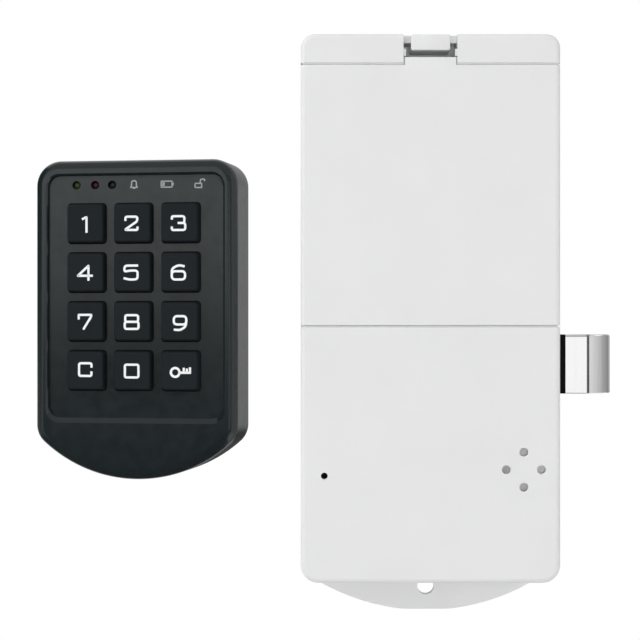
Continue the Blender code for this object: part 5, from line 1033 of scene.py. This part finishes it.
def keypad_outline(inset):
    """Rounded top, straight sides and a curved chin that joins them through small rounds."""
    half = KEYPAD_HALF - inset
    top = KEYPAD_TOP - inset
    top_radius = KEYPAD_TOP_RADIUS - inset
    low_radius = KEYPAD_LOWER_RADIUS - inset
    arc_radius = KEYPAD_ARC_RADIUS - inset
    arc_z = KEYPAD_ARC_RADIUS - KEYPAD_TOP
    low_x = half - low_radius
    low_z = arc_z - math.sqrt((arc_radius - low_radius) ** 2 - low_x**2)
    meeting = math.atan2(low_z - arc_z, low_x)
    top_centre = (half - top_radius, top - top_radius)
    right_top = arc_points(top_centre, top_radius, 0, QUARTER, CORNER_STEPS)
    right_low = arc_points((low_x, low_z), low_radius, meeting, 0, CORNER_STEPS)
    chin = arc_points((0, arc_z), arc_radius, -math.pi - meeting, meeting, KEYPAD_ARC_STEPS)
    left_top, left_low = ([(-x, z) for x, z in reversed(arc)] for arc in (right_top, right_low))
    return chin + right_low[1:] + right_top + left_top + left_low[:-1]


def key_places():
    for row, names in enumerate(KEY_NAMES):
        for column, name in enumerate(names):
            x = KEY_FIELD_X + (column - 1) * KEY_PITCH[0]
            yield name, (x, KEY_FIRST_Z - row * KEY_PITCH[1])


def key_outline(centre, growth, radius):
    size = (KEY_SIZE[0] + 2 * growth, KEY_SIZE[1] + 2 * growth)
    return centred_outline(centre, size, radius, KEY_CORNER_STEPS)


def panel_outline(swell, foot, trim=0.0, end=0.0):
    """Panel seen from the front; trim narrows its left and top, end moves its right and foot out."""
    half = PANEL_HALF + swell
    low = (-half + trim, foot - end)
    high = (half + end, PANEL_TOP + swell - trim)
    return rounded_outline(low, high, PANEL_RADIUS + swell, PANEL_RADIUS + swell)


def panel_cutters():
    """Recess of the panel and the channel along its left and top edges."""
    start, end = PANEL_FOOT
    panel = []
    for step in range(CURVE_STEPS + 1):
        share = step / CURVE_STEPS
        depth = PANEL_FACE + (KEYPAD_FRONT - PANEL_FACE) * share
        swell = PANEL_DRAFT * (1 - math.cos(QUARTER * share)) ** PANEL_CURVE
        panel.append((depth, panel_outline(swell, start + (end - start) * share)))
    panel.append((KEYPAD_FRONT - OVERRUN, panel[-1][1]))
    yield loft("panel", panel)
    channel = prism("channel", panel_outline(0, start), PANEL_FACE - WELD, CHANNEL_FLOOR)
    pierce(channel, panel_outline(0, start, CHANNEL_WIDTH, CHANNEL_END), PANEL_FACE, CHANNEL_FLOOR)
    yield channel


def make_keypad_shell():
    edge = (KEYPAD_EDGE_ROUND, KEYPAD_EDGE_STEPS)
    shell = rounded_blank("keypad_case", keypad_outline, 0, KEYPAD_FRONT, *edge)
    cut(shell, prism("cavity", keypad_outline(KEYPAD_WALL), PANEL_BACK, OVERRUN))
    cut(shell, prism("rebate", keypad_outline(KEYPAD_WALL - OVERRUN), REBATE_FRONT, OVERRUN))
    cut(shell, *panel_cutters())
    for _, place in key_places():
        hole = key_outline(place, KEY_CLEARANCE, KEY_CORNER + KEY_CLEARANCE)
        pierce(shell, hole, KEYPAD_FRONT, PANEL_BACK)
    for x in LAMP_X.values():
        pierce(shell, circle((x, LAMP_Z), LAMP_HOLE_RADIUS), KEYPAD_FRONT, PANEL_BACK)
    floor = PANEL_BACK - WELD
    end = BOARD_FRONT - GAP
    for x in (-POST_X, POST_X):
        for z in POST_HEIGHTS:
            post = rod("post", POST_RADIUS, floor, end, (x, z), POST_SEGMENTS)
            tip = (end - WELD, BOARD_BACK + GAP)
            join(shell, post, rod("pin", POST_PIN_RADIUS, *tip, (x, z), POST_SEGMENTS))
    for place in KEYPAD_SCREWS:
        join(shell, rod("boss", BOSS_RADIUS, floor, REBATE_FRONT, place, SMALL_SEGMENTS))
        cut(shell, countersink(place, SHORT_SCREW))
    place_on_keypad(shell)
    keep_inside(shell)
    dress(shell, "dark_plastic", "units", "keypad_shell")


def make_key(name, place):
    """Drafted cap with rounded edges, kept in by a flange behind the panel."""
    spread, flange_front, flange_back = KEY_FLANGE
    wide = key_outline((0, 0), spread, KEY_CORNER)
    stem = key_outline((0, 0), 0, KEY_CORNER)
    sections = [(flange_back, wide), (flange_front, wide), (flange_front, stem), (PANEL_FACE, stem)]
    for depth, inset in rounding(KEY_ROUND, KEY_CORNER_STEPS):
        outline = key_outline((0, 0), -KEY_DRAFT - inset, max(KEY_CORNER - inset / 2, KEY_ROUND))
        sections.append((KEY_FACE + depth, outline))
    fit(loft(name + "_cap", sections), "key_plastic", name, name, place=place)


def rounded_path(points, radius, closed):
    """Polyline whose corners are arcs of at most that radius."""
    count = len(points)
    path = []
    for index, point in enumerate(points):
        here = Vector(point)
        if not closed and index in (0, count - 1):
            path.append(here)
            continue
        before = Vector(points[index - 1]) - here
        after = Vector(points[(index + 1) % count]) - here
        reach = min(radius, before.length * CORNER_REACH, after.length * CORNER_REACH)
        start = here + before.normalized() * reach
        end = here + after.normalized() * reach
        for step in range(CURVE_STEPS + 1):
            share = step / CURVE_STEPS
            path.append(start.lerp(here, share).lerp(here.lerp(end, share), share))
    return path


def line(points, face, width, radius=0.0, closed=False):
    """Printed ribbon on a face, through points in millimetres with rounded corners."""
    path = rounded_path([mm(*point) for point in points], radius * MM, closed)
    count = len(path)
    rings = []
    for index, point in enumerate(path):
        before = path[index - 1] if closed or index > 0 else point
        after = path[(index + 1) % count] if closed or index < count - 1 else point
        incoming = (point - before).normalized() if before != point else (after - point).normalized()
        outgoing = (after - point).normalized() if after != point else incoming
        mean = (incoming + outgoing).normalized()
        normal = Vector((-mean.y, mean.x))
        miter = width / 2 / max(normal.dot(Vector((-incoming.y, incoming.x))), MITER_LIMIT)
        left = point + normal * miter
        right = point - normal * miter
        corners = ((left, -1), (right, -1), (right, 1), (left, 1))
        rings.append([(side.x, face + y * PRINT_HEIGHT, side.y) for side, y in corners])
    return skin("stroke", rings, closed)


def slab(name, low, high, face):
    """Thin printed rectangle on a face, from corners in millimetres."""
    (left, bottom), (right, top) = (mm(*corner) for corner in (low, high))
    return box(name, (left, right), span(PRINT_HEIGHT, face), (bottom, top))


# Strokes in millimetres from each key's centre: points, rounding and whether the stroke is a loop
TWO = [(-1.62, 0.5), (-1.62, 1.55), (1.46, 1.55), (1.46, 0.42), (-1.82, -1.78), (1.52, -1.8)]
TWO.append((1.52, -0.95))
FIVE = [(1.67, 1.65), (-1.84, 1.65), (-1.92, 0.1), (-0.64, 0.38), (1.54, 0.4), (1.54, -1.8)]
FIVE += [(-0.64, -1.88), (-2.1, -1.48)]
CLEAR = [(1.77, 0.74), (1.77, 1.85), (-1.49, 1.85), (-1.49, -1.34), (1.76, -1.36), (1.76, -0.2)]
GLYPHS = {
    "key_1": (([(-0.72, 1.0), (0.3, 1.5), (0.46, 1.5), (0.46, -2.4)], 0.1),),
    "key_2": ((TWO, 0.55),),
    "key_3": (
        ([(-1.84, 0.7), (-1.84, 1.56), (1.37, 1.56), (1.37, -0.14), (-0.36, -0.14)], 0.6),
        ([(0.2, -0.14), (1.6, -0.14), (1.6, -1.9), (-1.84, -1.9), (-1.84, -1.02)], 0.6),
    ),
    "key_4": (([(0.97, -2.14), (0.97, 1.66), (-1.8, -0.86), (2.14, -0.86)], 0.1),),
    "key_5": ((FIVE, 0.8),),
    "key_6": (
        ([(1.45, 1.38), (-0.1, 1.76), (-1.86, 0.83), (-1.86, -0.78)], 1.1),
        ([(-1.86, 0.18), (1.55, 0.18), (1.55, -1.9), (-1.86, -1.9)], 0.95, True),
    ),
    "key_7": (([(-1.57, 0.5), (-1.57, 1.66), (1.72, 1.66), (1.58, 1.06), (-0.4, -2.04)], 0.12),),
    "key_8": (
        ([(-1.67, 1.58), (1.67, 1.58), (1.67, -0.09), (-1.67, -0.09)], 0.55, True),
        ([(-1.8, -0.09), (1.78, -0.09), (1.78, -1.88), (-1.8, -1.88)], 0.55, True),
    ),
    "key_9": (
        ([(-1.35, 1.33), (1.88, 1.33), (1.88, -0.75), (-1.35, -0.75)], 0.95, True),
        ([(1.88, 0.31), (1.73, -1.3), (0.28, -2.19), (-1.36, -2.05)], 1.1),
    ),
    "key_clear": ((CLEAR, 0.5),),
    "key_0": (([(-1.77, 1.53), (1.75, 1.53), (1.75, -1.68), (-1.77, -1.68)], 0.5, True),),
}


def make_pictogram():
    """Key pictogram: a ring, a shaft and three teeth."""
    centre = (-0.99, -0.36)
    mark = line(circle(centre, 1.1), KEY_FACE, PICTOGRAM_STROKE, 0.02, True)
    join(mark, slab("shaft", (centre[0] + 1.25, -0.72), (3.1, -0.1), KEY_FACE))
    for left, top in ((0.95, 0.8), (1.75, 0.62), (2.55, 0.92)):
        join(mark, slab("tooth", (left, -0.3), (left + 0.55, top), KEY_FACE))
    return mark


def make_legend(name, place):
    if name in GLYPHS:
        legend, *rest = [line(path, KEY_FACE, STROKE, *turn) for path, *turn in GLYPHS[name]]
        join(legend, *rest)
    else:
        legend = make_pictogram()
    legend.name = name + "_legend"
    fit(legend, "legend_print", name, place=place)


def make_status_marks():
    """Plain symbols beside the lamps: a bell, a battery that runs low and an open padlock."""
    def outline(points, turn, closed=True):
        return line(points, PANEL_FACE, STATUS_STROKE, turn, closed)

    sides = [(0.62, 0.95), (0.62, -0.35), (0.95, -0.75)]
    bell = outline([(-x, z) for x, z in reversed(sides)] + sides, 0.55)
    join(bell, slab("clapper", (-0.25, -1.1), (0.25, -0.72), PANEL_FACE))
    battery = outline([(-1.5, -0.75), (1.3, -0.75), (1.3, 0.75), (-1.5, 0.75)], 0.12)
    join(battery, slab("nub", (1.3, -0.35), (1.75, 0.35), PANEL_FACE))
    join(battery, slab("charge", (-1.2, -0.45), (-0.6, 0.45), PANEL_FACE))
    padlock = outline([(-0.85, -0.95), (0.85, -0.95), (0.85, 0.1), (-0.85, 0.1)], 0.1)
    join(padlock, outline([(0.5, 0.1), (0.5, 1.15), (1.6, 1.15), (1.6, 0.62)], 0.5, False))
    for mark, name, x in ((bell, "bell", -0.3), (battery, "battery", 8.3), (padlock, "padlock", 16.4)):
        mark.name = "status_mark_" + name
        fit(mark, "status_print", "units", place=(x * MM, LAMP_Z))


def make_lamps():
    tip = PANEL_FACE + LAMP_SINK
    foot = PANEL_BACK + GAP
    profile = [(0, tip)]
    for step in range(1, CURVE_STEPS + 1):
        angle = QUARTER * step / CURVE_STEPS
        profile.append((LAMP_RADIUS * math.sin(angle), tip + LAMP_CROWN * (1 - math.cos(angle))))
    profile += [(LAMP_RADIUS, foot), (LAMP_FOOT_RADIUS, foot)]
    profile += [(LAMP_FOOT_RADIUS, LAMP_BACK), (0, LAMP_BACK)]
    for name, x in LAMP_X.items():
        fit(turned(name + "_lens", profile, (x, LAMP_Z), HOLE_SEGMENTS), name, "units", name)


def make_mat():
    """Rubber mat behind the keys, with a dome for each key; the domes are fixed here, though real ones
    give way with the key.
    """
    outline = rounded_outline(MAT_LOW, MAT_HIGH, MAT_RADIUS, MAT_RADIUS)
    sheet = prism("mat_sheet", outline, MAT_FRONT, MAT_BACK)
    fit(sheet, "silicone", "units", "keypad_rubber_mat")
    profile = [
        (0, DOME_TOP),
        (DOME_NARROW - GAP / 2, DOME_TOP),
        (DOME_NARROW, DOME_TOP + GAP / 2),
        (DOME_NARROW, DOME_SKIRT),
        (DOME_WIDE, MAT_FRONT),
        (0, MAT_FRONT),
    ]
    for name, (x, z) in key_places():
        dome = turned(name + "_dome", profile, (x, z), SMALL_SEGMENTS)
        fit(dome, "silicone", "units")
        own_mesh(dome)


def insert_profile():
    """Insert with two grooves round it."""
    depth = -GAP - INSERT_FRONT
    profile = [(0, INSERT_FRONT), (INSERT_RADIUS, INSERT_FRONT)]
    floor = INSERT_RADIUS - GROOVE_DEPTH
    for share in GROOVE_SHARES:
        at = INSERT_FRONT + depth * share
        profile += [
            (INSERT_RADIUS, at - GROOVE_LEAD),
            (floor, at),
            (floor, at + GROOVE_FLOOR),
            (INSERT_RADIUS, at + GROOVE_END),
        ]
    return profile + [(INSERT_RADIUS, -GAP), (0, -GAP)]


def make_keypad_back():
    outline = keypad_outline(KEYPAD_WALL - OVERRUN + GAP)
    plate = prism("keypad_back", outline, BACK_PLATE_FRONT, 0)
    window = centred_outline(KEYPAD_WINDOW, KEYPAD_WINDOW_SIZE, WINDOW_RADIUS)
    pierce(plate, window, BACK_PLATE_FRONT, 0)
    ends = (INSERT_FRONT - OVERRUN, OVERRUN)
    for number, place in enumerate(INSERTS, 1):
        join(plate, rod("boss", INSERT_BOSS_RADIUS, INSERT_FRONT, BACK_PLATE_FRONT + WELD, place))
        cut(plate, rod("seat", INSERT_RADIUS + GAP, *ends, place))
        insert = turned(f"insert_{number}", insert_profile(), place, SCREW_SEGMENTS)
        cut(insert, rod("bore", INSERT_BORE, *ends, place, HOLE_SEGMENTS))
        fit(insert, "brass", "units", f"threaded_insert_{number}")
    cut(plate, *(countersink(place, SHORT_SCREW) for place in KEYPAD_SCREWS))
    make_screws("keypad", KEYPAD_SCREWS, SHORT_SCREW)
    fit(plate, "dark_plastic", "units", "keypad_back_plate")


def make_keypad():
    make_keypad_shell()
    make_keypad_back()
    make_mat()
    make_lamps()
    make_status_marks()
    for name, place in key_places():
        make_key(name, place)
        make_legend(name, place)


def sheet_of(name, width, depth, height=0):
    """Flat rectangle round the Z axis."""
    mesh = bmesh.new()
    corners = ((-1, -1), (1, -1), (1, 1), (-1, 1))
    mesh.faces.new([mesh.verts.new((x * width / 2, y * depth / 2, height)) for x, y in corners])
    return finish_mesh(name, mesh)


def seen_directly(tree):
    """1 for rays of the camera, of gloss and of glass, and 0 for the light that falls on things."""
    path = add_node(tree, "LightPath")
    total = path.outputs["Is Camera Ray"]
    for name in ("Is Glossy Ray", "Is Transmission Ray"):
        add = add_node(tree, "Math", {0: total, 1: path.outputs[name]})
        add.operation = "MAXIMUM"
        total = add.outputs["Value"]
    return total


def set_surface(tree, output):
    tree.links.new(output, tree.nodes["Material Output"].inputs["Surface"])


def add_floor():
    """Plain pale floor that shows white to the camera and still takes a shadow."""
    floor = sheet_of("floor", FLOOR_SIZE, FLOOR_SIZE, FLOOR_Z)
    made, tree, shader = new_material("pale_floor")
    wire(tree, shader, {"Base Color": (0.82, 0.82, 0.82, 1.0), "Roughness": 0.9})
    glow = add_node(tree, "Emission", {"Strength": 1.0})
    inputs = {"Fac": seen_directly(tree), 1: shader.outputs["BSDF"], 2: glow.outputs["Emission"]}
    set_surface(tree, add_node(tree, "MixShader", inputs).outputs["Shader"])
    floor.data.materials.append(made)


def add_world():
    world = bpy.data.worlds.new("studio")
    bpy.context.scene.world = world
    world.use_nodes = True
    tree = world.node_tree
    level = remap(tree, seen_directly(tree), WORLD_LEVEL, 1.0, 0.0, 1.0)
    wire(tree, tree.nodes["Background"], {"Color": (1.0, 1.0, 1.0, 1.0), "Strength": level})


def facing(obj, place, target, front):
    """Put an object at a place with its front axis towards a target."""
    obj.location = place
    direction = Vector(target) - Vector(place)
    obj.rotation_euler = direction.to_track_quat(front, "Y").to_euler()


def add_light(name, place, size, power):
    lamp = bpy.data.lights.new(name, "AREA")
    lamp.shape = "RECTANGLE"
    lamp.size = lamp.size_y = size
    lamp.energy = power
    obj = bpy.data.objects.new(name, lamp)
    facing(obj, place, LIGHT_TARGET, "-Z")
    obj.visible_glossy = False
    bpy.context.scene.collection.objects.link(obj)


def add_card(name, place, target, size, axis, stops):
    """Card outside the view that only gloss sees, with brightness stops along one of its own axes."""
    card = sheet_of(name, *size)
    facing(card, place, target, "Z")
    made, tree, _ = new_material(name + "_cloth")
    half = size["XY".index(axis)] / 2
    along = remap(tree, along_axis(tree, axis), 0.0, 1.0, -half, half)
    greys = [(position, (level, level, level)) for position, level in stops]
    glow = add_node(tree, "Emission", {"Color": ramp(tree, along, greys, "EASE")})
    set_surface(tree, glow.outputs["Emission"])
    card.data.materials.append(made)
    card.visible_camera = False
    card.visible_diffuse = False
    card.visible_shadow = False


# Name, place, size and power
LIGHTS = (
    ("key_light", (-0.85, -0.45, 1.0), 0.8, 9.4),
    ("left_light", (-1.2, -0.3, 0.1), 0.5, 3.0),
    ("right_light", (1.15, -0.6, 0.2), 0.7, 3.5),
    ("front_light", (-0.03, -1.15, -0.1), 0.3, 3.4),
)

# Brightness along a card, as (position, level) stops
LOW = ((0, 0), (0.81, 0.01), (0.92, 1))
LEFT = ((0, 0.3), (0.45, 0.3), (0.5, 0.05), (0.54, 0), (1, 0))
MIDDLE = ((0, 0.03), (0.46, 0.05), (0.54, 0.18), (1, 0.18))
REAR = ((0, 0.05), (0.3, 0.07), (0.42, 0.4), (0.5, 0.43), (1, 0.43))
OVER, SLOPE, SIDE = (((0, a), (1, b)) for a, b in ((0.42, 0.42), (0.46, 0.72), (0.24, 0.39)))
DIM, SOFT = (((0, level), (1, level)) for level in (0.05, 0.18))

# Name, place, target, size, and the axis and the brightness along it
CARDS = (
    ("low_card", (-0.4, -0.72, -0.24), (-0.4, 0, -0.24), (0.75, 0.66), "Y", LOW),
    ("left_card", (-0.75, 0.25, 0), (0, 0.25, 0), (1.6, 1.4), "Y", LEFT),
    ("under_card", (-0.25, -0.25, -0.28), (-0.25, -0.25, 0), (0.7, 1.0), "Y", DIM),
    ("middle_card", (-0.1, -0.9, 0), (-0.1, 0, 0), (0.32, 1.2), "Y", MIDDLE),
    ("fill_card", (0.445, -0.9, 0), (0.445, 0, 0), (0.35, 1.2), "Y", MIDDLE),
    ("gap_low_card", (0.165, -0.9, -0.375), (0.165, 0, -0.375), (0.22, 0.45), "Y", DIM),
    ("gap_high_card", (0.165, -0.9, 0.35), (0.165, 0, 0.35), (0.22, 0.5), "Y", SOFT),
    ("over_card", (0, -0.35, 0.65), (0, 0, 0), (1.6, 1.2), "X", OVER),
    ("slope_card", (0.75, -0.35, 0), (0.04, 0, 0), (0.9, 1.2), "X", SLOPE),
    ("side_card", (0.8, 0.3, 0), (0.04, 0, 0), (0.7, 1.2), "X", SIDE),
    ("rear_card", (0.3, 0.9, 0), (0, 0, 0), (1.3, 1.2), "Y", REAR),
)


def add_studio():
    add_floor()
    add_world()
    for light in LIGHTS:
        add_light(*light)
    for card in CARDS:
        add_card(*card)


def add_camera():
    lens = bpy.data.cameras.new("camera")
    lens.lens = CAMERA_LENS
    lens.sensor_width = CAMERA_SENSOR
    lens.clip_start = CAMERA_CLIP
    camera = bpy.data.objects.new("camera", lens)
    camera.location = CAMERA_PLACE
    camera.rotation_euler = (QUARTER, 0, 0)
    bpy.context.scene.collection.objects.link(camera)
    bpy.context.scene.camera = camera


def main():
    bpy.context.scene.view_settings.view_transform = "Standard"
    dress_frame()
    make_housing()
    make_gauze()
    make_cover()
    make_clip()
    make_base()
    make_nose()
    make_cells()
    make_contacts()
    make_bolt_coil()
    make_plunger()
    make_screws("housing", HOUSING_SCREWS, LONG_SCREW)
    make_screws("frame", FRAME_SCREWS, SHORT_SCREW)
    make_keypad()
    add_studio()
    add_camera()


main()
